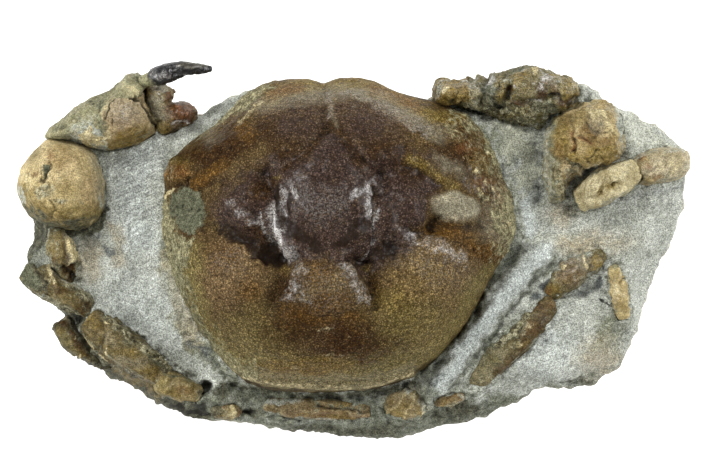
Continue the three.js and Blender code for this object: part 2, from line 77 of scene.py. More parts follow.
def noise(points, size, seed=0):
    """Smooth noise from -1 to 1, in lumps about size mm across."""
    at = points / np.asarray(size, float)
    cell = np.floor(at)
    t = at - cell
    t = t * t * t * (t * (t * 6 - 15) + 10)
    total = np.zeros(len(points))
    for corner in itertools.product((0, 1), repeat=3):
        weight = np.prod(np.where(corner, t, 1 - t), axis=1)
        total += weight * hashed(cell + corner, seed)
    return total * 2 - 1


def layered(points, size, seed=0, layers=3, keep=0.5):
    """Noise in several sizes on top of each other, from about -1 to 1."""
    total, strength, whole = np.zeros(len(points)), 1.0, 0.0
    for layer in range(layers):
        turned = points @ TURN[layer % 3]
        total += strength * noise(turned, np.asarray(size, float) / 2.03 ** layer, seed + layer * 17)
        whole += strength
        strength *= keep
    return total / whole * 1.6


def turning(about_x, about_z):
    """A rotation that keeps the layers of noise from lining up."""
    cx, sx, cz, sz = math.cos(about_x), math.sin(about_x), math.cos(about_z), math.sin(about_z)
    round_x = np.array([[1, 0, 0], [0, cx, -sx], [0, sx, cx]])
    round_z = np.array([[cz, -sz, 0], [sz, cz, 0], [0, 0, 1]])
    return round_x @ round_z


TURN = [np.eye(3), turning(0.7, 1.1), turning(-0.5, 2.3)]


def grains(points, size, seed=0):
    """Distance to the nearest and second nearest of scattered grains, in grain sizes."""
    at = points / np.asarray(size, float)
    cell = np.floor(at)
    first = np.full(len(points), 9.0)
    second = np.full(len(points), 9.0)
    for step in itertools.product((-1, 0, 1), repeat=3):
        near = cell + step
        spot = np.stack([near[:, k] + 0.15 + 0.7 * hashed(near, seed + 31 * k) for k in range(3)], axis=1)
        distance = np.sqrt(((at - spot) ** 2).sum(axis=1))
        second = np.minimum(second, np.maximum(distance, first))
        first = np.minimum(first, distance)
    return first, second


def smooth(low, high, value):
    """0 below low, 1 above high, and an even S between."""
    t = np.clip((value - low) / (high - low), 0, 1)
    return t * t * (3 - 2 * t)


def chips(points, size, seed=0):
    """A broken surface: flat facets, each tilted its own way, from about -1 to 1."""
    at = points / size
    cell = np.floor(at)
    best, height = np.full(len(points), 9.0), np.zeros(len(points))
    for step in itertools.product((-1, 0, 1), repeat=3):
        near = cell + step
        away = at - near - 0.15 - 0.7 * np.stack([hashed(near, seed + 31 * k) for k in range(3)], axis=1)
        tilt = np.stack([hashed(near, seed + 7 + 31 * k) - 0.5 for k in range(3)], axis=1)
        distance = (away ** 2).sum(axis=1)
        level = hashed(near, seed + 5) - 0.5 + 1.8 * (away * tilt).sum(axis=1)
        height = np.where(distance < best, level, height)
        best = np.minimum(best, distance)
    return height


# ---- shapes drawn on the photograph's plan -------------------------------------------------------
class Plan:
    """A piece's points as the photograph sees them, and soft shapes drawn there, each from 0 to 1."""

    def __init__(self, points, seed=0):
        self.at = photo_pixels(points)
        wide = [layered(points, 2.2, seed + k, 2) for k in (5, 6)]
        narrow = [layered(points, 0.8, seed + k, 2) for k in (7, 8)]
        self.drift = np.stack(wide, axis=1) + 0.5 * np.stack(narrow, axis=1)

    def warped(self, rough):
        """Every point's place, moved by up to about rough pixels so that drawn edges come out uneven."""
        return self.at + rough * self.drift

    def blob(self, x, y, wide, high, turn=0.0, soft=0.35, rough=2.0):
        """An ellipse with half sizes wide and high, turned anticlockwise by turn degrees."""
        dx, dy = (self.warped(rough) - (x, y)).T
        c, s = math.cos(math.radians(turn)), math.sin(math.radians(turn))
        reach = np.hypot((dx * c - dy * s) / wide, (dx * s + dy * c) / high)
        return 1 - smooth(1 - soft, 1 + soft, reach)

    def line(self, path, width, soft=0.6, rough=1.0):
        """A stroke along path, width pixels to each side, fading over soft times that."""
        reach = self.distance(path, rough) / width
        return 1 - smooth(1 - soft, 1 + soft, reach)

    def distance(self, path, rough=0.0):
        """How far each point is from path, in pixels."""
        at = self.warped(rough)
        best = np.full(len(at), 1e9)
        for a, b in zip(path[:-1], path[1:]):
            a, b = np.asarray(a, float), np.asarray(b, float)
            along = np.clip(((at - a) @ (b - a)) / max((b - a) @ (b - a), 1e-9), 0, 1)
            best = np.minimum(best, np.hypot(*(at - a - along[:, None] * (b - a)).T))
        return best

    def area(self, corners, soft=3.0, rough=2.0):
        """A region with those corners, fading over soft pixels to each side of its edge."""
        at = self.warped(rough)
        inside = np.zeros(len(at), bool)
        for a, b in zip(corners, corners[1:] + corners[:1]):
            crosses = (a[1] > at[:, 1]) != (b[1] > at[:, 1])
            with np.errstate(divide="ignore", invalid="ignore"):
                edge = (b[0] - a[0]) * (at[:, 1] - a[1]) / (b[1] - a[1] + 1e-9) + a[0]
            inside ^= crosses & (at[:, 0] < edge)
        reach = self.distance(corners + corners[:1], rough)
        return smooth(-soft, soft, np.where(inside, reach, -reach))

    def drawn(self, shapes):
        """The strongest share of several shapes."""
        return np.max([getattr(self, kind)(*values) for kind, values in shapes], axis=0)


# What the tables below are written in. Places and sizes are in the photograph's pixels.
def spot(x, y, wide, high, turn=0, soft=0.6, rough=3):
    """An ellipse with half sizes wide and high."""
    return "blob", (x, y, wide, high, turn, soft, rough)


def stroke(width, *path, soft=0.8, rough=2):
    """A line along a path, width to each side."""
    return "line", (list(path), width, soft, rough)


def patch(*corners, soft=3, rough=3):
    """A region with those corners."""
    return "area", (list(corners), soft, rough)


class Marks(dict):
    """A piece's marks by name. Where a name is given twice, the stronger share counts."""

    def add(self, name, *shares):
        for share in shares:
            self[name] = np.maximum(self.get(name, 0.0), share)

    def draw(self, plan, table, within=1.0):
        """Adds a table's marks, and returns the rise in mm that it asks for."""
        rise = np.zeros(len(plan.at))
        for name, strength, *shapes in table:
            share = strength * plan.drawn(shapes) * within
            if name == "rise":
                rise += share
            else:
                self.add(name, share)
        return rise


# ---- fine meshes from the CAD nodes --------------------------------------------------------------
def placed(name, data):
    """A new object in the scene."""
    item = bpy.data.objects.new(name, data)
    bpy.context.scene.collection.objects.link(item)
    return item


def in_millimetres(mesh):
    """A mesh of the frame in millimetres, for bmesh to work on."""
    work = bmesh.new()
    work.from_mesh(mesh)
    bmesh.ops.scale(work, vec=(1 / MM,) * 3, verts=work.verts)
    return work


def closed_copy(node):
    """The CAD node's mesh in millimetres, its doubled corners merged, as a new object."""
    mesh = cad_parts[node].data.copy()
    work = in_millimetres(mesh)
    bmesh.ops.remove_doubles(work, verts=work.verts, dist=0.001)
    work.to_mesh(mesh)
    work.free()
    mesh.materials.clear()
    return placed(node + "_fine", mesh)


def with_modifiers(piece):
    """Applies the piece's modifiers to its mesh."""
    bpy.context.view_layer.update()
    depsgraph = bpy.context.evaluated_depsgraph_get()
    mesh = bpy.data.meshes.new_from_object(piece.evaluated_get(depsgraph))
    piece.modifiers.clear()
    piece.data = mesh


def remeshed(piece, voxel):
    """Rebuilds the piece as even quads, voxel mm across."""
    modifier = piece.modifiers.new("fine", "REMESH")
    modifier.mode = "VOXEL"
    modifier.voxel_size = voxel
    modifier.adaptivity = 0
    with_modifiers(piece)


def cut_off(work, place, outward):
    """Takes away what lies beyond a plane, and closes the cut with a flat face."""
    whole = work.verts[:] + work.edges[:] + work.faces[:]
    cut = bmesh.ops.bisect_plane(work, geom=whole, plane_co=place, plane_no=outward, clear_outer=True)
    rim = [item for item in cut["geom_cut"] if isinstance(item, bmesh.types.BMEdge)]
    bmesh.ops.holes_fill(work, edges=rim)


def cut_below(piece, height):
    """Ends the piece at that height, because nothing below it can be seen."""
    work = bmesh.new()
    work.from_mesh(piece.data)
    cut_off(work, (0, 0, height), (0, 0, -1))
    work.to_mesh(piece.data)
    work.free()


def read(items, name, columns, kind=np.float32):
    """One property of a mesh's vertices or edges, a row for each."""
    flat = np.zeros(len(items) * columns, kind)
    items.foreach_get(name, flat)
    return flat.reshape(-1, columns)


def points_of(mesh):
    return read(mesh.vertices, "co", 3).astype(float)


def normals_of(mesh):
    return read(mesh.vertex_normals, "vector", 3).astype(float)


def edges_of(mesh):
    return read(mesh.edges, "vertices", 2, np.int32)


def set_points(mesh, points):
    mesh.vertices.foreach_set("co", points.astype(np.float32).ravel())
    mesh.update()


def averaged(values, edges, count):
    """Each vertex's mean over its neighbours."""
    a, b = edges.T
    shares = np.bincount(a, minlength=count) + np.bincount(b, minlength=count)
    columns = values if values.ndim == 2 else values[:, None]
    total = [np.bincount(a, column[b], count) + np.bincount(b, column[a], count) for column in columns.T]
    mean = np.stack(total, axis=1) / np.maximum(shares, 1)[:, None]
    return mean if values.ndim == 2 else mean[:, 0]


# The share of the way to its neighbours' mean that a point goes in and then comes back out.
MELT_IN = 0.6
MELT_OUT = 0.62


def melted(points, edges, rounds):
    """Smooths the CAD's facets into curves without shrinking the piece."""
    for _ in range(rounds):
        points = points + MELT_IN * (averaged(points, edges, len(points)) - points)
        points = points - MELT_OUT * (averaged(points, edges, len(points)) - points)
    return points


def hollows(points, normals, edges, rounds):
    """Above 0 in a hollow and below 0 on a crest, for the painted shade in hollows and painted light on
    crests.
    """
    even = points
    for _ in range(rounds):
        even = averaged(even, edges, len(points))
    depth = ((even - points) * normals).sum(axis=1)
    return depth / (np.percentile(np.abs(depth), 90) + 1e-9)


def nearest(points, targets):
    """For each point, the distance in plan to the nearest target and that target's number."""
    tree = KDTree(len(targets))
    for number, (x, y) in enumerate(targets[:, :2]):
        tree.insert((x, y, 0), number)
    tree.balance()
    found = [tree.find((x, y, 0)) for x, y in points[:, :2]]
    return np.array([item[2] for item in found]), np.array([item[1] for item in found])


# A flat top's height as a share of the limb's own, how sharply it turns down at its edge, the rounds of
# smoothing that keep it even, and how far the normals at the limb's rim lean up or down at most.
FLAT_TOP = 0.86
FLAT_TOP_ROUNDING = 2.4
FLAT_TOP_SOFTENING = 40
FLAT_TOP_RIM = 0.2


def flattened(points, normals, edges, edge, share):
    """Gives a rounded limb a flatter top with steeper sides, as prepared legs stand out of their stone."""
    rim = np.abs(normals[:, 2]) < FLAT_TOP_RIM
    distance, number = nearest(points, points[rim])
    level = points[rim][number, 2]
    top = np.percentile(points[:, 2] - level, 97)
    wanted = level + top * (1 - (1 - np.clip(distance / edge, 0, 1)) ** FLAT_TOP_ROUNDING) * FLAT_TOP
    share = share * smooth(0.05, 0.3, normals[:, 2]) * smooth(0.0, 0.4, distance)
    rise = share * (wanted - points[:, 2])
    for _ in range(FLAT_TOP_SOFTENING):
        rise = averaged(rise, edges, len(points))
    points = points.copy()
    points[:, 2] += rise
    return points


# Over how many rounds of smoothing a point counts as deep: narrow hollows, and wide valleys.
HOLLOW_ROUNDS = 4
VALLEY_ROUNDS = 24
# Points on the walls of each finished piece, by node, for the stone to bank up against, and how far a wall's
# normals lean up or down at most.
RIMS = {}
WALL = 0.3


def dressed(node, slot, detail, material, voxel=0.28, melt=10, floor=None, grow=0.2, flat=None,
            base=None):
    """Replaces a CAD node with a fine mesh of the same shape that carries the detail and the material.

    The mesh has faces voxel mm across, melt rounds of smoothing, an end at the height floor, grow mm of
    thickening and, where flat is given, a flat top. It starts from base instead of the node's own mesh.
    """
    piece = base or closed_copy(node)
    remeshed(piece, voxel)
    if floor is not None:
        cut_below(piece, floor)
    mesh = piece.data
    edges = edges_of(mesh)
    points = melted(points_of(mesh), edges, melt)
    set_points(mesh, points)
    if flat:
        points = flattened(points, normals_of(mesh), edges, *flat)
        set_points(mesh, points)
    normals = normals_of(mesh)
    wall = np.abs(normals[:, 2]) < WALL
    lift, marks = detail(points, normals)
    points = points + (normals * (lift + grow)[:, None] if lift.ndim == 1 else lift)
    RIMS[node] = points[wall][::3]
    set_points(mesh, points)
    normals = normals_of(mesh)
    marks["hollow"] = hollows(points, normals, edges, HOLLOW_ROUNDS)
    marks["valley"] = hollows(points, normals, edges, VALLEY_ROUNDS)
    for name, values in marks.items():
        mesh.attributes.new(name, "FLOAT", "POINT").data.foreach_set("value", values.astype(np.float32))
    set_points(mesh, points * MM)
    mesh.shade_smooth()
    mesh.materials.append(material)
    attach(piece, "root")
    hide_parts(node)
    return piece


def fossil(node, slot, material, seed, table, lumps=0.12, chip=3.0, chipped=0.25, clinging=0.6,
           bedded=0.5, **how):
    """A claw or leg piece: its table of marks and rises, over gentle lumps and broken facets.

    Stone clings to its steep sides, in dark clay and, where it is bedded, in the stone's own grey.
    """
    def detail(points, normals):
        plan, marks = Plan(points, seed), Marks()
        lift = marks.draw(plan, table) + lumps * layered(points, 2.4, seed + 1, 3)
        broken = 0.7 * chips(points, chip, seed + 2) + 0.3 * chips(points, chip * 0.4, seed + 3)
        lift += chipped * broken
        walls = 1 - smooth(0.15, 0.8, normals[:, 2])
        skirt = 1 - smooth(0.4, 0.97, normals[:, 2])
        marks.add("clay", clinging * walls * np.clip(0.6 + layered(points, 1.8, seed + 6, 3), 0, 1))
        marks.add("stone", bedded * skirt * np.clip(0.25 + 1.3 * layered(points, 2.4, seed + 9, 3), 0, 1))
        return lift + marks.get("rough", 0.0) * 0.3 * layered(points, 1.1, seed + 4, 3), marks
    return dressed(node, slot, detail, material, **how)


# ---- materials -----------------------------------------------------------------------------------
def linear(colour):
    """A photograph's 0-255 colour as Blender's linear one."""
    parts = [c / 255 for c in colour]
    return [c / 12.92 if c <= 0.04045 else ((c + 0.055) / 1.055) ** 2.4 for c in parts] + [1.0]


# The glossy coat of worn shell.
COAT_ROUGHNESS = 0.2
COAT_IOR = 2.0


class Paint:
    """A material built from nodes, with positions in millimetres."""

    def __init__(self, name, specular=0.5):
        self.material = bpy.data.materials.new(name)
        self.material.use_nodes = True
        self.tree = self.material.node_tree
        self.tree.nodes.clear()
        self.shader = self.node("ShaderNodeBsdfPrincipled")
        self.shader.inputs["Specular IOR Level"].default_value = specular
        self.shader.inputs["Coat Roughness"].default_value = COAT_ROUGHNESS
        self.shader.inputs["Coat IOR"].default_value = COAT_IOR
        output = self.node("ShaderNodeOutputMaterial")
        self.tree.links.new(self.shader.outputs[0], output.inputs[0])
        place = self.node("ShaderNodeTexCoord").outputs["Object"]
        self.place = self.vector("SCALE", place, scale=1 / MM)

    def node(self, kind, **settings):
        node = self.tree.nodes.new(kind)
        for name, value in settings.items():
            setattr(node, name, value)
        return node

    def put(self, socket, value):
        """Links a socket, or sets a plain number or colour."""
        if isinstance(value, bpy.types.NodeSocket):
            self.tree.links.new(value, socket)
        elif isinstance(value, tuple):
            socket.default_value = linear(value) if len(value) == 3 and socket.type == "RGBA" else value
        else:
            socket.default_value = value

    def vector(self, operation, a, b=None, scale=None):
        node = self.node("ShaderNodeVectorMath", operation=operation)
        self.put(node.inputs[0], a)
        if b is not None:
            self.put(node.inputs[1], b)
        if scale is not None:
            self.put(node.inputs["Scale"], scale)
        return node.outputs[0]

    def math(self, operation, a, b=0.0, clamp=False):
        node = self.node("ShaderNodeMath", operation=operation, use_clamp=clamp)
        self.put(node.inputs[0], a)
        self.put(node.inputs[1], b)
        return node.outputs[0]

    def along(self, angle, length):
        """Positions turned by that angle and shortened along it, so that a pattern runs long that way."""
        node = self.node("ShaderNodeVectorRotate", rotation_type="Z_AXIS")
        self.put(node.inputs["Vector"], self.place)
        self.put(node.inputs["Angle"], math.radians(-angle))
        return self.vector("DIVIDE", node.outputs[0], (length, 1, 1))

    def noise(self, size, detail=3.0, rough=0.6, twist=0.0, place=None):
        """Cloudy noise from 0 to 1, in patches about size mm across."""
        node = self.node("ShaderNodeTexNoise")
        self.put(node.inputs["Vector"], place or self.place)
        self.put(node.inputs["Scale"], 1 / size)
        self.put(node.inputs["Detail"], detail)
        self.put(node.inputs["Roughness"], rough)
        self.put(node.inputs["Distortion"], twist)
        return node.outputs[0]

    def veins(self, size, width, seed_shift):
        """Thin wandering lines, 1 along them and 0 elsewhere."""
        moved = self.vector("ADD", self.place, (seed_shift, seed_shift, 0.0))
        wander = self.math("SUBTRACT", self.noise(size, 3.0, 0.55, 0.6, moved), 0.5)
        off_middle = self.math("ABSOLUTE", wander)
        line = self.step(off_middle, 0.0, width, 1.0, 0.0)
        return self.math("MULTIPLY", line, self.step(self.noise(size * 1.3, 2.0, 0.5), 0.45, 0.6))

    def cells(self, size):
        """Distance to scattered grains, in grain sizes."""
        node = self.node("ShaderNodeTexVoronoi", feature="F1")
        self.put(node.inputs["Vector"], self.place)
        self.put(node.inputs["Scale"], 1 / size)
        return node.outputs["Distance"]

    def mark(self, name):
        """A mark that the piece's mesh carries."""
        return self.node("ShaderNodeAttribute", attribute_name=name).outputs["Fac"]

    def step(self, value, low, high, to_low=0.0, to_high=1.0):
        """Runs from to_low to to_high as value goes from low to high, and stays there."""
        node = self.node("ShaderNodeMapRange", interpolation_type="SMOOTHSTEP")
        names = ("Value", "From Min", "From Max", "To Min", "To Max")
        for name, number in zip(names, (value, low, high, to_low, to_high)):
            self.put(node.inputs[name], number)
        return node.outputs[0]

    def mix(self, factor, a, b):
        node = self.node("ShaderNodeMix", data_type="RGBA")
        node.clamp_factor = True
        for index, value in ((0, factor), (6, a), (7, b)):
            self.put(node.inputs[index], value)
        return node.outputs[2]

    def scaled(self, colour, value, low, high, at_low, at_high):
        """Makes a colour at_low to at_high times as bright, as value goes from low to high."""
        return self.vector("SCALE", colour, scale=self.step(value, low, high, at_low, at_high))

    def ragged(self, name, spread, low=0.3, high=0.7, size=0.8):
        """A mark whose edge is broken up by noise of the given size."""
        broken = self.math("MULTIPLY", self.math("SUBTRACT", self.noise(size, 3.0, 0.65), 0.5), spread)
        return self.step(self.math("ADD", self.mark(name), broken), low, high)

    def soft(self, name, spread=0.7, size=1.2):
        """A mark that fades evenly and varies with noise of the given size."""
        varied = self.step(self.noise(size, 3.0, 0.65), 0.25, 0.75, 1 - spread / 2, 1 + spread / 2)
        return self.math("MULTIPLY", self.mark(name), varied, clamp=True)

    def bump(self, height, strength, distance, below=None):
        node = self.node("ShaderNodeBump")
        self.put(node.inputs["Height"], height)
        node.inputs["Strength"].default_value = strength
        node.inputs["Distance"].default_value = distance * MM
        if below is not None:
            self.put(node.inputs["Normal"], below)
        return node.outputs[0]

    def finish(self, colour, roughness, normal, shine=0.0):
        """Wires up the shader, with a glossy coat of that weight where the piece is marked wet."""
        self.put(self.shader.inputs["Base Color"], colour)
        self.put(self.shader.inputs["Roughness"], roughness)
        self.put(self.shader.inputs["Normal"], normal)
        if shine:
            patchy = self.step(self.noise(0.9, 3.0, 0.65), 0.35, 0.65, 0.3 * shine, shine)
            self.put(self.shader.inputs["Coat Weight"], self.math("MULTIPLY", self.mark("wet"), patchy))
            self.put(self.shader.inputs["Coat Normal"], normal)
        return self.material


def shaded_by_shape(paint, colour, deep=0.45, crest=1.35):
    """Paints shade into hollows and valleys, and light onto crests."""
    colour = paint.scaled(colour, paint.mark("hollow"), 0.2, 2.0, 1.0, deep)
    colour = paint.scaled(colour, paint.mark("valley"), 0.3, 2.6, 1.0, deep)
    return paint.scaled(colour, paint.mark("hollow"), -0.3, -2.2, 1.0, crest)


def speckled(paint, colour, size, darkest, lightest, soft_size=0.7, soft_share=0.2):
    """Covers a colour in fine dark and light grain, over a softer, larger one."""
    clouds = paint.noise(soft_size, 3.0, 0.7)
    colour = paint.scaled(colour, clouds, 0.3, 0.7, 1 - soft_share, 1 + soft_share)
    return paint.scaled(colour, paint.noise(size, 1.0, 0.6), 0.3, 0.7, darkest, lightest)


def tinted(paint, colour, mottle, tints):
    """Lays each mark's two tones over the colour, mottled, in order."""
    for name, (deep, pale), ragged in tints:
        share = paint.ragged(name, 1.0, 0.2, 0.85) if ragged else paint.soft(name)
        colour = paint.mix(share, colour, paint.mix(mottle, deep, pale))
    return colour


def crumbled(paint, colour, name, dark, middle, pale):
    """Broken shell and stone: crumbs of three tones where the mark is."""
    shell = paint.mix(paint.step(paint.noise(0.9, 3.0, 0.7), 0.4, 0.6), dark, middle)
    crumbs = paint.mix(paint.step(paint.noise(1.3, 4.0, 0.75, 0.6), 0.49, 0.58), shell, pale)
    return paint.mix(paint.ragged(name, 0.8), colour, crumbs)


def darkened(paint, colour, spread, share, dark):
    """Dark cracks, and painted shade in holes and hollows, where the piece is marked so."""
    return paint.mix(paint.math("MULTIPLY", paint.ragged("dark", spread), share), colour, dark)


def glinting(paint, colour):
    """Painted highlights of pale grains, partly worn ones, on the crests, closer where the mark is stronger.
    """
    closer = paint.math("MULTIPLY", paint.mark("glint"), 0.14)
    grains = paint.step(paint.math("ADD", paint.noise(0.42, 3.0, 0.65), closer), 0.42, 0.68)
    return paint.mix(paint.math("MULTIPLY", paint.mark("glint"), grains), colour, (190, 186, 180))


# The tones, dark and pale, that each mark lays over a piece's own colour, and whether its edge is ragged.
# A fossil has its shell's tones, and over them the coats of stone and clay that cling to it.
SHELL_TONES = [
    ("warm", ((84, 64, 38), (130, 108, 74)), False),
    ("olive", ((94, 84, 44), (134, 120, 76)), False),
    ("purple", ((50, 36, 30), (78, 62, 54)), False),
    ("umber", ((42, 26, 8), (72, 48, 18)), False),
    ("ochre", ((94, 76, 30), (140, 121, 66)), False),
    ("orange", ((72, 49, 16), (110, 80, 36)), False),
    ("rust", ((88, 52, 26), (126, 82, 48)), False),
    ("red", ((52, 33, 20), (108, 70, 40)), False),
]
SHELL_COATS = [
    ("grey", ((110, 104, 86), (148, 142, 120)), False),
    ("silt", ((116, 114, 84), (154, 152, 120)), False),
    ("clay", ((86, 86, 66), (142, 142, 118)), True),
    ("stony", ((80, 78, 56), (162, 156, 122)), True),
    ("stone", ((128, 132, 118), (184, 187, 176)), True),
    ("green", ((68, 70, 53), (106, 107, 87)), True),
    ("cream", ((154, 140, 98), (208, 196, 156)), True),
    ("murk", ((44, 42, 32), (110, 106, 84)), True),
]
STONE_TINTS = [
    ("green", ((92, 96, 78), (142, 144, 122)), True),
    ("tan", ((134, 118, 86), (186, 172, 140)), False),
    ("ochre", ((110, 88, 46), (160, 134, 84)), False),
    ("bright", ((168, 174, 168), (200, 206, 202)), False),
    ("blue", ((62, 66, 66), (124, 128, 124)), True),
    ("dusk", ((76, 80, 66), (128, 131, 112)), False),
    ("brown", ((76, 66, 40), (124, 110, 76)), False),
    ("murk", ((46, 46, 37), (104, 103, 84)), True),
    ("pale", ((152, 154, 136), (188, 189, 170)), True),
]


def siltstone_paint():
    """The stone: pale grey silt with mottles, veins, pits and speckle, streaked where it is marked."""
    paint = Paint("siltstone_paint", specular=0.2)
    patches = paint.noise(6.0, 4.0, 0.6)
    mottle = paint.noise(1.1, 5.0, 0.7)
    streaks = paint.noise(0.55, 3.0, 0.6, 0.5, paint.along(24, 6.0))
    colour = paint.mix(paint.step(patches, 0.35, 0.65), (152, 155, 144), (184, 187, 177))
    # pale and dark mottles, and the tints that are marked
    colour = paint.mix(paint.step(mottle, 0.5, 0.7, 0.0, 0.6), colour, (202, 205, 198))
    colour = paint.mix(paint.step(mottle, 0.5, 0.3, 0.0, 0.6), colour, (124, 127, 113))
    colour = tinted(paint, colour, paint.step(mottle, 0.3, 0.7), STONE_TINTS)
    # bedding streaks, dark and pale veins, and pits
    streaked = paint.scaled(colour, streaks, 0.35, 0.65, 0.66, 1.3)
    colour = paint.mix(paint.mark("streak"), colour, streaked)
    colour = paint.scaled(colour, paint.veins(3.4, 0.02, 0.0), 0.0, 1.0, 1.0, 0.72)
    colour = paint.scaled(colour, paint.veins(2.3, 0.02, 40.0), 0.0, 1.0, 1.0, 1.22)
    colour = paint.scaled(colour, paint.cells(2.6), 0.03, 0.1, 0.45, 1.0)
    # speckle, painted shade in hollows and painted light on crests, and cracks
    colour = speckled(paint, colour, 0.25, 0.52, 1.52, 0.6, 0.18)
    colour = shaded_by_shape(paint, colour, 0.62, 1.3)
    colour = darkened(paint, colour, 0.7, 0.9, (40, 39, 32))
    roughness = paint.step(mottle, 0.3, 0.7, 0.72, 0.9)
    lumps = paint.bump(paint.noise(0.8, 4.0, 0.75), 0.8, 0.28)
    lumps = paint.bump(paint.math("MULTIPLY", streaks, paint.mark("streak")), 0.8, 0.3, lumps)
    return paint.finish(colour, roughness, paint.bump(paint.noise(0.3, 2.0, 0.6), 0.7, 0.12, lumps))


def shell_roughness(paint, usual, dull):
    """Clinging stone is duller than the shell that it covers."""
    dry = paint.math("MAXIMUM", paint.mark("stony"), paint.mark("cream"))
    dry = paint.math("MAXIMUM", dry, paint.math("MAXIMUM", paint.mark("stone"), paint.mark("green")))
    roughness = paint.step(dry, 0.2, 0.8, usual, dull)
    return paint.math("ADD", roughness, paint.step(paint.noise(0.7, 3.0, 0.6), 0.3, 0.7, -0.05, 0.08))


def brown_shell_paint():
    """The back shell: brown, with granules painted light and shade, and pale at their tips, partly as wear
    and partly as painted highlights.
    """
    paint = Paint("brown_shell_paint", specular=0.06)
    patches = paint.noise(5.0, 4.0, 0.6)
    mottle = paint.step(paint.noise(0.9, 4.0, 0.7), 0.3, 0.7)
    colour = paint.mix(paint.step(patches, 0.35, 0.65), (72, 54, 30), (98, 80, 48))
    colour = tinted(paint, colour, mottle, SHELL_TONES)
    # granules, painted dark between and light in the middle as their shade and light, and pale at the tips,
    # partly as wear and partly as painted highlights
    granules = paint.cells(0.42)
    colour = paint.scaled(colour, granules, 0.15, 0.6, 1.35, 0.55)
    paler = paint.step(paint.noise(1.1, 2.0, 0.6), 0.42, 0.7, 0.06, 0.34)
    tips = paint.math("MULTIPLY", paint.step(granules, 0.3, 0.1), paler)
    colour = paint.mix(tips, colour, (168, 154, 132))
    # what covers the shell, over its own tones
    colour = crumbled(paint, colour, "crumbs", (60, 42, 22), (112, 90, 54), (150, 144, 116))
    colour = tinted(paint, colour, mottle, SHELL_COATS)
    colour = glinting(paint, colour)
    colour = speckled(paint, colour, 0.24, 0.5, 1.6, 0.8, 0.2)
    colour = shaded_by_shape(paint, colour, 0.5, 1.5)
    colour = darkened(paint, colour, 0.4, 0.8, (30, 20, 12))
    beads = paint.bump(granules, -0.7, 0.15)
    grain = paint.bump(paint.noise(0.22, 2.0, 0.6), 0.6, 0.08, beads)
    return paint.finish(colour, shell_roughness(paint, 0.55, 0.8), grain, 1.0)


def fossil_paint(name, deep, pale, dirt, paler, lumps=0.6, crust=0.0, grain=(0.54, 1.54), shine=0.25):
    """A fossil piece's paint: mottled between deep and pale, with whatever the piece's marks add."""
    paint = Paint(name, specular=0.1)
    patches = paint.noise(3.5, 4.0, 0.6)
    noise = paint.noise(0.9, 4.0, 0.7)
    mottle = paint.step(noise, 0.3, 0.7)
    colour = paint.mix(paint.step(patches, 0.35, 0.65), deep, pale)
    colour = paint.mix(paint.step(noise, 0.5, 0.3, 0.0, 0.4), colour, dirt)
    colour = paint.mix(paint.step(noise, 0.5, 0.7, 0.0, 0.3), colour, paler)
    if crust:
        clinging = paint.step(paint.noise(2.2, 5.0, 0.75), 0.62 - 0.2 * crust, 0.7 - 0.2 * crust)
        colour = paint.mix(clinging, colour, paint.mix(mottle, (92, 94, 74), (158, 158, 134)))
    colour = tinted(paint, colour, mottle, SHELL_TONES + SHELL_COATS)
    colour = crumbled(paint, colour, "rough", (58, 54, 40), (112, 106, 78), (160, 156, 128))
    colour = glinting(paint, colour)
    colour = paint.scaled(colour, paint.veins(2.6, 0.018, 20.0), 0.0, 1.0, 1.0, 0.7)
    colour = speckled(paint, colour, 0.25, *grain)
    colour = shaded_by_shape(paint, colour, 0.55, 1.3)
    colour = darkened(paint, colour, 0.8, 0.85, (42, 38, 28))
    bumps = paint.bump(paint.noise(0.7, 4.0, 0.7), lumps, 0.2)
    fine = paint.bump(paint.noise(0.26, 2.0, 0.6), 0.6, 0.1, bumps)
    return paint.finish(colour, shell_roughness(paint, 0.58, 0.8), fine, shine)


def tan_paint(name, deep, pale):
    """The wrists' and knuckles' tan shell."""
    return fossil_paint(name, deep, pale, (96, 82, 54), (206, 192, 158), crust=0.1, grain=(0.62, 1.42))


def cream_paint():
    """The bone-like leg segment."""
    return fossil_paint("cream_shell_paint", (158, 146, 108), (188, 178, 142), (116, 100, 66),
                        (222, 212, 186), grain=(0.66, 1.36))


def olive_paint(name="olive_shell_paint", deep=(77, 69, 43), pale=(108, 98, 68)):
    """The legs' olive brown shell."""
    return fossil_paint(name, deep, pale, (52, 47, 31), (146, 138, 110), crust=0.4, shine=0.5)


def crushed_paint():
    """The crushed claw: olive and ochre shell, rough and glossy by turns."""
    return fossil_paint("crushed_shell_paint", (74, 69, 40), (108, 100, 64), (46, 44, 32), (140, 134, 102),
                        lumps=1.0, crust=0.3, grain=(0.42, 1.8), shine=0.6)


def black_paint():
    """The glossy black finger."""
    return fossil_paint("black_shell_paint", (13, 12, 12), (23, 22, 21), (7, 6, 6), (46, 45, 43), shine=0.6)


def red_brown_paint():
    """The stub of the fixed finger."""
    return fossil_paint("red_brown_shell_paint", (74, 54, 32), (112, 90, 58), (40, 28, 18), (166, 150, 120),
                        crust=0.2, shine=0.3)


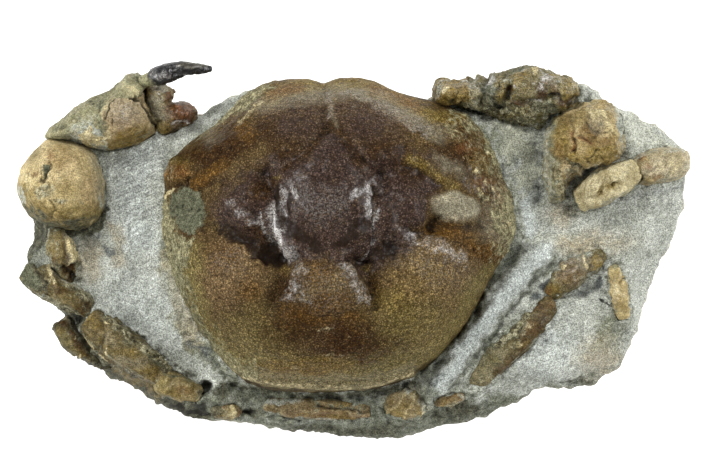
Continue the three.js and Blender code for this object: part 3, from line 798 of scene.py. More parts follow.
# ---- the back shell ------------------------------------------------------------------------------
# Each row of a table is a mark's name, its strength and where it lies. "rise" is a height in mm.
FRONT_GROOVES = [
    stroke(5, (331, 126), (318, 142), (304, 155), (286, 168), soft=0.9),
    stroke(5, (339, 128), (349, 146), (364, 168), soft=0.9)]
HEART = patch((302, 262), (350, 262), (369, 302), (345, 312), (310, 312), (284, 300), soft=4)
REAR_RIM = [(246, 375), (275, 381), (320, 385), (360, 385), (392, 378), (412, 372)]
MIDDLE_LINE = [(322, 98), (331, 108), (337, 126)]
LEFT_OVAL = patch((171, 196), (182, 188), (199, 190), (207, 206), (206, 226), (197, 236), (182, 231),
    (169, 214), soft=4, rough=3)
PURPLE_MIDDLE = patch((300, 148), (330, 132), (362, 140), (396, 146), (430, 160), (440, 186), (428, 204),
    (424, 230), (402, 256), (368, 280), (345, 264), (310, 260), (292, 268), (262, 258), (226, 232),
    (214, 206), (226, 186), (256, 172), (270, 156), soft=12, rough=6)
SHELL_CENTRE = patch((296, 186), (344, 186), (347, 204), (332, 226), (312, 226), (294, 204), soft=9,
    rough=6)

SHELL_RELIEF = [
    ("rise", 1.0, stroke(8, (274, 204), (278, 226), (290, 250), soft=0.9, rough=1)),
    ("rise", -1.2, stroke(9, (254, 212), (260, 236), (276, 260), soft=0.9)),
    ("rise", 1.0, stroke(8, (368, 204), (371, 228), (363, 250), soft=0.9, rough=1)),
    ("rise", -1.1, stroke(9, (388, 200), (391, 224), (384, 248), soft=0.9)),
    ("rise", -0.3, stroke(2.2, (278, 188), (284, 208), (287, 228), soft=0.9),
        stroke(2.2, (373, 188), (376, 210), (374, 240), soft=0.9)),
    ("rise", -0.6, stroke(9, (226, 228), (244, 240), (262, 254), soft=0.9)),
    ("rise", -0.5, stroke(9, (426, 226), (408, 240), (390, 254), soft=0.9)),
    ("rise", 0.6, stroke(6, (228, 200), (240, 212), (252, 224), soft=0.9),
        stroke(6, (412, 206), (418, 220), (424, 232), soft=0.9)),
    ("rise", 0.7, stroke(7, (404, 241), (429, 246), (450, 254), (468, 263), soft=0.9)),
    ("rise", -0.4, stroke(7, (425, 232), (450, 238), (475, 246), soft=0.9)),
    ("rise", 0.6, stroke(7, (205, 250), (222, 240), (240, 247), (256, 264), soft=0.9)),
    ("rise", 0.3, HEART),
    ("rise", 0.4, stroke(4, (303, 262), (300, 280), (288, 298), soft=0.9),
        stroke(4, (347, 264), (353, 284), (368, 302), soft=0.9)),
    ("rise", -0.4, *FRONT_GROOVES),
    ("rise", 0.4, stroke(2.4, *REAR_RIM, rough=0.6)),
    ("rise", -0.35, stroke(4, *[(x, y - 6) for x, y in REAR_RIM], soft=0.9, rough=0.6)),
    ("rise", 0.14, stroke(2, *MIDDLE_LINE, rough=0.5)),
    ("rise", 0.5, stroke(9, (200, 151), (222, 141), (246, 138), soft=0.9)),
    ("rise", -0.6, stroke(6, (184, 188), (196, 175), (212, 163), (234, 158), soft=0.9)),
    ("rise", 0.5, stroke(5, (198, 184), (214, 173), (234, 171), soft=0.9)),
    ("rise", 0.5, spot(174, 168, 13, 12)),
    ("rise", -0.35, stroke(3, (184, 158), (190, 172), (186, 186), soft=0.9)),
    ("rise", 0.5, stroke(4, (238, 126), (250, 117), (262, 105))),
    ("rise", 0.35, LEFT_OVAL),
    ("rise", 0.8, spot(455, 208, 24, 15, -8, 0.3, 1.5)),
    ("rise", -0.5, stroke(5, (432, 227), (455, 230), (480, 226), soft=0.9, rough=1)),
    ("rise", -0.5, spot(408, 160, 11, 14, 30)),
    ("rise", 0.4, stroke(5, (412, 160), (432, 172), (452, 188), soft=0.9)),
    ("rise", 0.5, spot(478, 166, 10, 9), spot(503, 198, 9, 12), spot(490, 250, 10, 7)),
]

SHELL_COLOURS = [
    ("purple", 1.0, PURPLE_MIDDLE),
    ("purple", 0.75, spot(300, 124, 30, 22, 20, 0.6, 5), spot(364, 124, 34, 20, -15, 0.6, 5)),
    ("purple", 0.4, spot(340, 335, 34, 20, 0, 0.7, 5)),
    ("warm", 1.0, spot(228, 272, 36, 30, 0, 0.6, 5), spot(432, 276, 40, 34, 0, 0.6, 5)),
    ("warm", 0.45, stroke(12, (272, 118), (310, 108), (345, 106), (398, 122), soft=0.9, rough=4)),
    ("olive", 1.0, patch((184, 244), (206, 246), (204, 280), (214, 322), (240, 348), (300, 354),
            (345, 360), (420, 345), (450, 318), (466, 282), (486, 258), (494, 272), (444, 350),
            (408, 378), (350, 390), (280, 388), (235, 372), (194, 322), (180, 276), soft=9, rough=4)),
    ("olive", 0.7, spot(250, 335, 40, 26, 0, 0.7, 5), spot(415, 325, 44, 26, 0, 0.7, 5)),
    ("umber", 0.25, spot(230, 316, 26, 20, 0, 0.9, 5), spot(452, 228, 26, 5, 0, 0.9, 3)),
    ("umber", 0.9, spot(300, 322, 34, 18, 10, 0.8, 5), spot(350, 340, 34, 20, 0, 0.8, 5),
        spot(286, 288, 9, 15, 20, 0.6, 2)),
    ("umber", 0.95, spot(222, 150, 38, 13, 22, 0.6, 4), spot(178, 160, 16, 6, 30)),
    ("umber", 0.8, spot(410, 165, 14, 22, 30, 0.6, 4), spot(376, 290, 10, 14), spot(262, 240, 9, 18, 25),
        spot(205, 182, 12, 6, 25), spot(455, 156, 24, 14, -30, 0.6, 5), spot(486, 226, 22, 7, 20),
        spot(490, 256, 16, 5, 0), spot(262, 190, 16, 9, 20)),
    ("umber", 0.35, spot(174, 170, 14, 12, 0, 0.8, 4), spot(212, 170, 12, 6, 20, 0.8, 4),
        spot(247, 134, 9, 10, 40, 0.8, 3), spot(412, 106, 18, 6, 25, 0.8, 4)),
    ("umber", 0.75, *FRONT_GROOVES, spot(384, 150, 22, 10, -20, 0.7, 5),
        spot(284, 150, 16, 12, 0, 0.7, 5), spot(268, 132, 10, 12)),
    ("ochre", 0.9, patch((262, 92), (300, 76), (322, 83), (345, 76), (376, 82), (410, 98), (436, 112),
            (468, 118), (456, 128), (424, 122), (398, 106), (360, 92), (320, 92), (292, 96), (264, 108),
            soft=4)),
    ("ochre", 0.7, spot(310, 368, 44, 10), stroke(5, (412, 160), (432, 172), (452, 188), soft=0.9),
        spot(174, 168, 14, 12)),
    ("ochre", 0.35, spot(425, 280, 34, 24, 0, 0.9, 5), spot(422, 328, 30, 20, 0, 0.9, 5)),
    ("ochre", 0.5, spot(395, 300, 20, 16), spot(284, 270, 5, 6), spot(367, 268, 5, 4),
        spot(480, 166, 12, 12), spot(278, 178, 6, 3)),
    ("orange", 0.9, spot(200, 180, 14, 7, 30, 0.5, 2), spot(216, 168, 14, 7, 20, 0.5, 2),
        spot(247, 134, 9, 10, 40, 0.5, 1)),
    ("orange", 1.0, spot(445, 232, 24, 7, -6, 0.5, 2), spot(478, 250, 18, 8, -20)),
    ("orange", 0.5, spot(300, 366, 40, 8, 0, 0.8, 5), spot(330, 300, 16, 8)),
    ("orange", 0.6, spot(222, 258, 20, 12, 0, 0.7, 4), spot(250, 290, 12, 10), spot(320, 272, 12, 12),
        spot(310, 312, 26, 10), spot(350, 318, 16, 6)),
    ("rust", 0.5, stroke(5, (268, 98), (285, 91), (300, 90), soft=0.9),
        stroke(5, (372, 90), (398, 100), (416, 108), soft=0.9)),
    ("rust", 0.6, spot(505, 198, 10, 12), spot(176, 172, 12, 8), spot(484, 184, 10, 5),
        spot(466, 150, 12, 5)),
]

SHELL_COVER = [
    ("crumbs", 0.45, patch((432, 112), (470, 112), (500, 140), (516, 190), (518, 234), (502, 260),
            (478, 262), (474, 238), (486, 222), (476, 196), (468, 176), (452, 150), (434, 132), soft=12,
            rough=8), spot(168, 170, 14, 16, 0, 0.6, 4),
        stroke(9, (196, 128), (230, 106), (262, 92), rough=4)),
    ("stony", 0.65, patch((156, 152), (196, 118), (232, 94), (262, 78), (278, 82), (264, 98), (240, 114),
            (214, 132), (184, 146), (166, 168), soft=5, rough=5)),
    ("stony", 0.8, patch((150, 176), (166, 182), (170, 205), (180, 236), (198, 240), (186, 262),
            (188, 300), (204, 332), (176, 320), (148, 240), soft=6, rough=4)),
    ("stony", 0.6,
        stroke(11, (176, 246), (182, 286), (196, 324), (222, 354), (250, 374), soft=0.9, rough=8)),
    ("stony", 0.9, stroke(10, (462, 112), (488, 128), (508, 162), (516, 200), (518, 240), (506, 264),
            soft=0.9, rough=8)),
    ("stony", 0.75, spot(500, 160, 12, 20, 0, 0.7, 7), spot(506, 214, 12, 24, 0, 0.7, 7),
        spot(476, 118, 18, 7, -35, 0.6, 6), spot(508, 176, 9, 18, 0, 0.6, 6),
        spot(512, 234, 9, 18, 0, 0.6, 6), spot(496, 218, 8, 7, 0, 0.6, 5)),
    ("stony", 0.5, spot(494, 146, 8, 12, 0, 0.7, 6), spot(484, 200, 7, 6, 0, 0.7, 5),
        spot(498, 248, 8, 6, 0, 0.7, 5), spot(452, 132, 12, 5, -30, 0.7, 5)),
    ("green", 0.9, LEFT_OVAL),
    ("green", 0.45, stroke(8, (176, 246), (180, 276), (188, 304), soft=0.9, rough=6)),
    ("green", 0.5, stroke(6, (186, 300), (200, 325), (215, 345), rough=3),
        stroke(6, (160, 146), (205, 116), (250, 88), rough=3)),
    ("murk", 0.35, spot(190, 208, 16, 20, 0, 0.7, 5),
        stroke(4, (514, 200), (518, 236), (506, 262), rough=4)),
    ("grey", 0.35, spot(494, 222, 18, 16, 0, 0.9, 6), spot(500, 198, 10, 12, 0, 0.9, 5),
        spot(204, 135, 16, 8, -30, 0.9, 5)),
    ("grey", 0.9, spot(455, 208, 23, 14, -8, 0.25, 1.5)),
    # The grey stroke along the front slope is a painted sheen.
    ("grey", 0.45,
        stroke(7, (262, 108), (300, 98), (345, 93), (382, 99), (415, 121), (438, 136), soft=0.9),
        spot(448, 166, 16, 6, -35)),
    ("grey", 0.2, stroke(2.2, *MIDDLE_LINE, rough=1)),
    ("cream", 0.5, stroke(3, (241, 124), (250, 117), (261, 106), rough=1),
        stroke(1.3, *REAR_RIM, rough=1.5)),
    ("grey", 0.3, stroke(6, *[(x, y - 3) for x, y in REAR_RIM], soft=0.9, rough=3)),
    # The small cream spots on the right margin are painted glints.
    ("cream", 0.8, stroke(2, (165, 198), (174, 190), rough=1), spot(473, 173, 2, 2), spot(485, 185, 3, 2),
        spot(493, 189, 3, 3)),
    ("cream", 0.6, spot(479, 193, 2, 2), spot(500, 177, 3, 2), spot(462, 160, 2, 2), spot(506, 226, 3, 3),
        spot(488, 152, 3, 2)),
    ("cream", 0.35, spot(331, 354, 14, 2), spot(326, 327, 8, 3, 10), spot(297, 365, 8, 3)),
    # The dark marks under the rear rim and in the grooves and hollows are painted shade; the short thin
    # strokes beside the middle are dark lines in the shell.
    ("dark", 0.6, stroke(2.4, *[(x, y + 6) for x, y in REAR_RIM])),
    ("dark", 0.45, stroke(9, (226, 228), (244, 240), (264, 256), soft=0.9),
        stroke(9, (400, 246), (382, 257), (366, 264), soft=0.9),
        stroke(5, (186, 184), (198, 171), (212, 162), soft=0.9),
        stroke(4, (432, 226), (455, 229), (480, 225), soft=0.9)),
    ("dark", 0.3, stroke(5, (278, 186), (282, 206), (290, 226), (300, 244), soft=0.9),
        stroke(5, (352, 204), (360, 224), (354, 244), soft=0.9), *FRONT_GROOVES,
        stroke(4, (272, 186), (281, 206), (296, 228), (312, 246), soft=0.9),
        stroke(4, (392, 196), (392, 222), (388, 242), soft=0.9)),
    ("dark", 0.85, stroke(6, (283, 219), (293, 231), (305, 241), (318, 248), soft=0.9, rough=4),
        stroke(6, (361, 222), (352, 234), (339, 245), soft=0.9, rough=4)),
    ("dark", 0.9, stroke(2, (279, 186), (280, 212), rough=1),
        stroke(1.6, (290, 194), (291, 214), rough=1), stroke(2, (371, 190), (372, 210), rough=1)),
    ("dark", 0.75, stroke(7, (226, 230), (245, 243), (262, 255), (280, 262), soft=0.9, rough=4),
        spot(382, 251, 16, 8, -10, 0.9, 4)),
    ("glint", 0.16, SHELL_CENTRE),
    ("wet", 0.3, SHELL_CENTRE),
    ("wet", 0.08, PURPLE_MIDDLE),
]
# Where the shell is glossy, the lamps' reflections and painted highlights of pale, partly worn grains show
# as white streaks.
FLANK_GLINTS = [stroke(6, (272, 213), (276, 226), (281, 240), (291, 257), soft=0.9, rough=3)]
CREST_GLINTS = [
    stroke(2.8, (284, 187), (285, 200), (286, 213), soft=0.95, rough=3),
    stroke(2.4, (292, 188), (299, 198), soft=0.95, rough=3),
    stroke(2.4, (353, 196), (361, 189), (368, 184), soft=0.95, rough=4),
    stroke(3.4, (366, 186), (367, 214), soft=0.95, rough=3),
    stroke(3, (376, 212), (375, 230), soft=0.95, rough=3),
    stroke(2.6, (373, 238), (367, 248), (360, 256), soft=0.95, rough=3),
    stroke(2.2, (258, 216), (264, 232), (272, 248), soft=0.95, rough=4),
    stroke(2, (372, 180), (378, 183), soft=0.95, rough=4)]
SHOULDER_GLINTS = [
    spot(232, 203, 3, 4, 0, 0.8, 3), spot(242, 213, 3.5, 4, 0, 0.8, 3), spot(249, 222, 4, 3, -30, 0.8, 3)]
HEART_GLINTS = [
    stroke(4, (303, 266), (298, 282), (287, 298), rough=5), stroke(3, (302, 286), (309, 302), rough=5),
    stroke(4, (344, 266), (352, 284), (365, 302), rough=5)]
RIDGE_GLINTS = [stroke(5, (410, 236), (428, 243), (446, 251), (458, 259), soft=0.9, rough=6)]
SHELL_GLOSS = [
    ("glint", 0.85, *FLANK_GLINTS),
    ("glint", 0.48, *CREST_GLINTS),
    ("glint", 0.42, *SHOULDER_GLINTS),
    ("glint", 0.28, *HEART_GLINTS),
    ("glint", 0.26, *RIDGE_GLINTS),
    ("glint", 0.12, spot(325, 288, 30, 20, 0, 0.8, 6), spot(432, 268, 40, 16, -20, 0.8, 6),
        spot(228, 262, 20, 12, 0, 0.8, 6)),
    ("glint", 0.25, stroke(4, (345, 95), (374, 103), (406, 124), (424, 136), soft=0.9, rough=5),
        stroke(3, (329, 96), (333, 118), soft=0.95, rough=4)),
    ("wet", 1.0, *FLANK_GLINTS),
    ("wet", 0.6, *CREST_GLINTS),
    ("wet", 0.5, *SHOULDER_GLINTS, *HEART_GLINTS, *RIDGE_GLINTS),
    ("wet", 0.35, spot(300, 180, 10, 10), spot(345, 232, 14, 8), spot(480, 178, 16, 14)),
]


def shell_grain(plan, points, normals):
    """Granules over the gills, wavy ripples in front and behind, and finer grain between, in mm."""
    y = plan.at[:, 1]
    granules, _ = grains(points, 0.8, 3)
    ripples, _ = grains(points, (1.7, 0.75, 1.2), 4)
    granular = smooth(232, 252, y) * (1 - smooth(285, 312, y))
    rippled = np.maximum(smooth(275, 300, y) * (1 - smooth(350, 378, y)),
                         smooth(98, 106, y) * (1 - smooth(138, 155, y)))
    up = smooth(0.2, 0.7, normals[:, 2])
    lift = 0.2 * granular * (0.55 - granules) + 0.3 * rippled * (0.55 - ripples)
    lift += 0.08 * (1 - 0.6 * granular) * (0.5 - granules)
    return up * lift + 0.10 * layered(points, 1.6, 9, 3) + 0.14 * layered(points, 4.5, 12, 2)


def carapace():
    """The domed back shell."""
    def detail(points, normals):
        plan, marks = Plan(points, 100), Marks()
        table = SHELL_RELIEF + SHELL_COLOURS + SHELL_COVER + SHELL_GLOSS
        lift = marks.draw(plan, table) + shell_grain(plan, points, normals)
        coated = np.clip(marks["stony"] + marks["green"], 0, 1)
        lumps, _ = grains(points, 1.6, 43)
        lift += marks["crumbs"] * (0.25 * (0.5 - lumps) + 0.3 * layered(points, 1.4, 45, 3))
        return lift + coated * 0.3 * layered(points, 1.1, 41, 3), marks
    dressed("carapace", "brown_shell", detail, brown_shell_paint(),
            voxel=0.325, melt=50, floor=20.3, grow=0.3)


# ---- the claws -----------------------------------------------------------------------------------
LEFT_WRIST = [
    ("rise", -0.8, stroke(2.8, (50, 165), (46, 173), (42, 181), soft=0.6)),
    ("rise", -0.3, spot(35, 173, 4, 4)),
    ("rise", -0.25, stroke(1.3, (50, 200), (56, 208), (52, 216)),
        stroke(1.6, (97, 152), (104, 172), (105, 195))),
    ("rise", 0.25, spot(52, 192, 20, 12, 20)),
    ("rise", 0.6, stroke(7, (48, 144), (70, 146), (90, 156), soft=0.9)),
    ("dark", 0.5, stroke(1, (42, 168), (40, 180), rough=1), stroke(0.9, (50, 166), (47, 178), rough=1),
        spot(44, 150, 1.6, 2)),
    ("dark", 0.45, stroke(1, (50, 200), (56, 208), (52, 218)),
        stroke(1.0, (97, 152), (104, 172), (105, 195)), stroke(1, (39, 166), (37, 174))),
    ("green", 0.9, patch((43, 166), (49, 164), (47, 177), (42, 180), soft=1.5, rough=1)),
    ("cream", 0.5, stroke(1.2, (52, 163), (51, 174), (46, 184), rough=1),
        stroke(1.2, (39, 164), (44, 160), (51, 161), rough=1), spot(50, 192, 12, 8, 30, 0.8, 5),
        spot(62, 178, 9, 5, 0, 0.8, 5), spot(30, 180, 6, 8)),
    ("rust", 0.5, spot(35, 173, 4, 4), spot(49, 158, 3, 5, -20)),
    ("rust", 0.25, spot(90, 190, 9, 16), spot(62, 165, 18, 14, 0, 0.8, 4)),
    ("rough", 0.6, spot(44, 192, 12, 8, 30), spot(60, 200, 10, 5)),
    ("ochre", 0.6, stroke(6, (44, 206), (64, 211), (92, 206), soft=0.9),
        stroke(6, (25, 188), (34, 204), (48, 208), soft=0.9)),
    ("ochre", 0.4, spot(58, 158, 10, 8), spot(70, 190, 16, 8)),
    ("grey", 0.6, stroke(5, (90, 150), (100, 175), (99, 200), soft=0.9),
        stroke(5, (52, 138), (78, 144), (94, 156), soft=0.9)),
    ("umber", 0.35, stroke(6, (38, 210), (52, 216), (70, 219), soft=0.9, rough=5)),
    ("stone", 0.7, stroke(4, (100, 158), (107, 178), (104, 204), rough=4),
        stroke(3, (22, 190), (24, 204), rough=4)),
    ("olive", 0.8, stroke(6, (24, 208), (44, 218), (70, 222), (98, 212), rough=4), spot(24, 196, 8, 10),
        spot(36, 152, 6, 8)),
    ("murk", 0.6, stroke(4, (24, 212), (44, 221), (70, 225), (98, 216), rough=5)),
    ("green", 0.4, stroke(3, (40, 136), (60, 132), (84, 139), rough=4)),
    ("green", 0.8, patch((14, 196), (24, 204), (36, 213), (50, 220), (70, 222), (84, 216), (80, 232),
            (50, 236), (14, 226), soft=3, rough=6)),
    ("murk", 0.45, patch((14, 204), (24, 210), (36, 219), (56, 226), (70, 228), (60, 236), (14, 236),
            soft=3, rough=5)),
]


def left_wrist():
    """The swollen wrist at the left end, with its broken slit."""
    paint = tan_paint("left_wrist_paint", (158, 142, 100), (190, 173, 128))
    fossil("left_wrist", "tan_shell", paint, 310, LEFT_WRIST,
           lumps=0.16, chip=5, chipped=0.12, clinging=0.2, bedded=0.2, melt=40)


PALM_PLATE = patch((101, 110), (108, 102), (118, 99), (131, 100), (141, 111), (147, 128), (140, 136),
    (118, 147), (108, 148), (101, 134), soft=3)
PALM_CRACK = [(128, 97), (137, 101), (144, 111), (151, 121), (158, 133)]
PLATE_CRACK = [(117, 99), (111, 104), (109, 110), (107, 119)]
LEFT_PALM = [
    ("rise", 0.3, PALM_PLATE),
    ("rise", -0.5, stroke(1.6, *PALM_CRACK, soft=0.7)),
    ("rise", 0.5, stroke(4, (137, 98), (146, 108), (153, 118), (158, 130))),
    ("rise", -0.4, stroke(1.2, *PLATE_CRACK)),
    ("rise", 0.3, spot(132, 84, 14, 8)),
    ("rise", -0.3, stroke(3, (108, 97), (118, 94), (127, 96))),
    ("silt", 0.9, patch((38, 128), (92, 84), (150, 66), (154, 84), (134, 95), (112, 100), (104, 112),
            (104, 134), (84, 150), (40, 160), soft=4)),
    ("rough", 0.45, stroke(4, (60, 130), (76, 112), (98, 98), rough=4),
        stroke(3, (46, 140), (64, 134), (84, 130), rough=4)),
    ("stone", 0.5, spot(80, 126, 22, 8, 35), spot(118, 80, 14, 5, 20)),
    ("stone", 1.0, patch((70, 134), (88, 124), (104, 128), (108, 144), (112, 154), (88, 158), (68, 150),
            soft=4, rough=5)),
    ("green", 0.6, spot(97, 103, 10, 9, 20), spot(102, 124, 7, 10), spot(110, 90, 10, 4, 30),
        spot(60, 128, 10, 4, 35), spot(70, 142, 16, 4, 10), spot(136, 80, 10, 4, 20)),
    ("olive", 0.5, spot(74, 116, 9, 4, 35), spot(97, 112, 6, 6)),
    ("rust", 0.3, spot(124, 118, 14, 14, 0, 0.8, 4)),
    ("grey", 0.45, spot(124, 112, 16, 12, 0, 0.8, 4)),
    ("glint", 0.3, spot(124, 114, 14, 12, 0, 0.8, 4)),
    ("ochre", 0.85, stroke(6, (110, 146), (126, 141), (142, 132)), spot(124, 136, 18, 6, 20)),
    ("cream", 0.6, spot(106, 108, 4, 6), stroke(4, (92, 141), (102, 138), (108, 132)),
        spot(131, 90, 6, 3)),
    ("umber", 0.6, spot(104, 98, 5, 3, -20), spot(118, 96, 6, 2)),
    ("dark", 0.8, stroke(1.2, *PALM_CRACK, rough=1), stroke(0.9, *PLATE_CRACK, rough=1),
        stroke(1, (113, 119), (113, 125), rough=1)),
    ("dark", 0.7, spot(133, 96, 4, 2, -20), spot(160, 134, 3, 2)),
    ("dark", 0.5, spot(60, 131, 3, 2), spot(52, 128, 2, 2), spot(68, 132, 3, 1),
        stroke(0.8, (48, 132), (58, 122), (66, 116), rough=1)),
    ("cream", 0.8, patch((76, 134), (90, 128), (103, 134), (104, 146), (84, 150), soft=4, rough=6)),
]


def left_palm():
    """The left claw's palm, with its tan plate, in crusty stone."""
    paint = tan_paint("palm_paint", (134, 118, 84), (170, 152, 114))
    fossil("left_palm", "tan_shell", paint, 320, LEFT_PALM,
           lumps=0.2, chip=3.4, chipped=0.4, bedded=0.1, voxel=0.24)


LEFT_FIXED_FINGER = [
    ("rise", 0.7, stroke(4, (142, 100), (150, 114), (157, 130))),
    ("rise", 0.5, spot(182, 112, 12, 8, 0, 0.6, 2), spot(167, 96, 5, 5)),
    ("rise", -0.5, stroke(4, (172, 98), (166, 106), (170, 112))),
    ("olive", 0.8,
        patch((138, 84), (168, 84), (168, 104), (160, 118), (164, 134), (146, 134), (138, 110), soft=4)),
    ("grey", 0.9, spot(155, 108, 9, 14, 20), spot(160, 90, 6, 4)),
    ("ochre", 0.6, spot(152, 94, 8, 4), spot(164, 122, 6, 6), spot(162, 128, 6, 4)),
    ("red", 1.0, spot(182, 112, 16, 9), spot(166, 97, 5, 4), spot(143, 92, 5, 4, -20),
        spot(146, 97, 4, 5)),
    ("orange", 0.9, spot(175, 114, 9, 6, 20), spot(163, 97, 2, 3), spot(183, 118, 8, 4)),
    ("umber", 0.9, spot(190, 109, 7, 6), spot(171, 96, 4, 4), spot(186, 106, 8, 3, -20)),
    ("cream", 0.7, stroke(1.6, (158, 85), (166, 85), (171, 87)), spot(140, 90, 2, 1.5)),
    ("glint", 0.9, stroke(1.8, (171, 123), (176, 121), (180, 120)), stroke(1.8, (182, 119), (188, 119)),
        spot(178, 106, 3, 1), spot(157, 97, 2, 1)),
    ("dark", 0.6, stroke(1.6, (150, 130), (158, 136), (176, 127)), spot(172, 101, 3, 2)),
    ("dark", 0.5, stroke(2, (171, 107), (181, 104), (191, 106), (196, 111)),
        stroke(1.6, (163, 94), (170, 97)), spot(144, 93, 4, 2)),
    ("wet", 1.0, spot(182, 112, 18, 14), spot(150, 95, 14, 10)),
]


def left_fixed_finger():
    """The broken, glossy red-brown stub under the black finger."""
    fossil("left_fixed_finger", "brown_shell", red_brown_paint(), 330, LEFT_FIXED_FINGER,
           lumps=0.15, chip=2.6, chipped=0.5, clinging=0.4, bedded=0.2, voxel=0.24)


LEFT_MOVING_FINGER = [
    ("rise", -0.25, stroke(2, (160, 80), (178, 76), (200, 70))),
    ("rise", 0.6, spot(163, 76, 10, 7)),
    ("silt", 1.0, patch((120, 55), (150, 55), (152, 76), (156, 92), (120, 100), soft=2)),
    # The grey strokes along the tip are a painted sheen.
    ("grey", 0.3, stroke(1.4, (186, 68), (206, 66), rough=1), stroke(1.2, (178, 66), (196, 63), rough=1)),
    ("glint", 0.5, spot(163, 75, 5, 3, 0, 0.8, 5), spot(187, 76, 3, 1.5), spot(178, 68, 3, 1.2),
        spot(157, 71, 3, 1)),
    ("rough", 0.25, spot(160, 78, 9, 6)),
    ("wet", 1.0, patch((153, 55), (220, 55), (220, 90), (153, 90))),
]


def left_moving_finger():
    """The black, pointed finger."""
    fossil("left_moving_finger", "black_shell", black_paint(), 340, LEFT_MOVING_FINGER,
           lumps=0.06, chip=2.5, chipped=0.14, clinging=0.3, bedded=0, voxel=0.24)


RIGHT_WRIST = [
    ("rise", 0.6, patch((556, 118), (584, 107), (604, 103), (618, 126), (622, 146), (606, 160),
            (590, 166), (572, 160), (558, 160), (554, 140), soft=3)),
    ("rise", 0.4, stroke(5, (574, 124), (590, 114), (604, 120), (606, 133)), spot(600, 150, 16, 8, 20),
        spot(564, 142, 8, 15)),
    ("rise", -0.5, stroke(1.8, (572, 126), (578, 138), (574, 152), rough=3),
        stroke(1.5, (580, 136), (588, 141), (594, 138)), stroke(1.5, (588, 158), (596, 150))),
    ("rise", -0.4, stroke(1.6, (586, 124), (598, 132), (610, 136)), stroke(1.5, (614, 126), (626, 134)),
        stroke(1.5, (578, 112), (590, 108), (604, 110))),
    ("rise", -1.0, spot(572, 186, 10, 12), spot(588, 170, 8, 4)),
    ("rise", 0.5, spot(574, 170, 11, 6)),
    ("ochre", 0.8, spot(564, 140, 9, 17, 0, 0.7, 4), spot(598, 152, 20, 8, 10), spot(586, 120, 14, 6, 20),
        spot(576, 158, 12, 5)),
    ("orange", 0.6, spot(590, 132, 10, 7, 20), spot(562, 150, 6, 8), spot(600, 142, 10, 4)),
    ("umber", 0.6, spot(590, 130, 7, 4, 20), stroke(2, (562, 124), (572, 120)), spot(568, 124, 8, 3, 10),
        spot(613, 146, 3, 3)),
    ("rust", 0.7, stroke(2, (573, 132), (576, 142), (573, 150)), stroke(1.6, (581, 138), (590, 142))),
    ("cream", 0.6, stroke(3.4, (590, 116), (602, 119), (606, 130), rough=3),
        stroke(2.4, (562, 112), (584, 105), (602, 103)), spot(610, 134, 5, 3)),
    ("grey", 0.3, spot(594, 120, 16, 8, 0, 0.9)),
    ("grey", 0.6, spot(574, 170, 12, 6), stroke(5, (610, 108), (618, 122), (626, 140), soft=0.9),
        spot(597, 124, 8, 8)),
    ("silt", 1.0, stroke(7, (550, 122), (549, 160), (553, 205))),
    ("green", 0.5, stroke(3, (552, 124), (551, 160), (555, 205), rough=4), spot(570, 170, 6, 4)),
    ("stone", 0.9, stroke(5, (548, 124), (548, 160), (552, 205), rough=4), spot(620, 126, 6, 12)),
    ("rough", 0.6, stroke(5, (555, 164), (560, 180), (562, 198)),
        stroke(3, (596, 164), (584, 166), (566, 160))),
    # The two dark spots under the lens are painted shade; the thin strokes are cracks.
    ("dark", 0.55, stroke(1.2, (562, 164), (576, 163), (590, 168), (604, 163)), spot(572, 186, 9, 10),
        spot(566, 196, 6, 8), stroke(0.9, (572, 128), (577, 142), (574, 150), rough=3),
        stroke(0.9, (582, 138), (590, 142)), stroke(0.9, (588, 158), (596, 150))),
    ("dark", 0.45, stroke(0.8, (556, 120), (570, 112), (582, 107)),
        stroke(0.8, (584, 113), (592, 109), (606, 112), rough=3),
        stroke(0.8, (598, 131), (610, 136), rough=3)),
    ("cream", 0.5, stroke(4, (548, 126), (549, 160), (552, 202), rough=4)),
]


def right_wrist():
    """The right wrist, its surface broken and pitted."""
    paint = tan_paint("right_wrist_paint", (138, 120, 78), (172, 154, 112))
    fossil("right_wrist", "tan_shell", paint, 350, RIGHT_WRIST,
           lumps=0.22, chip=3.2, chipped=0.5, voxel=0.24)


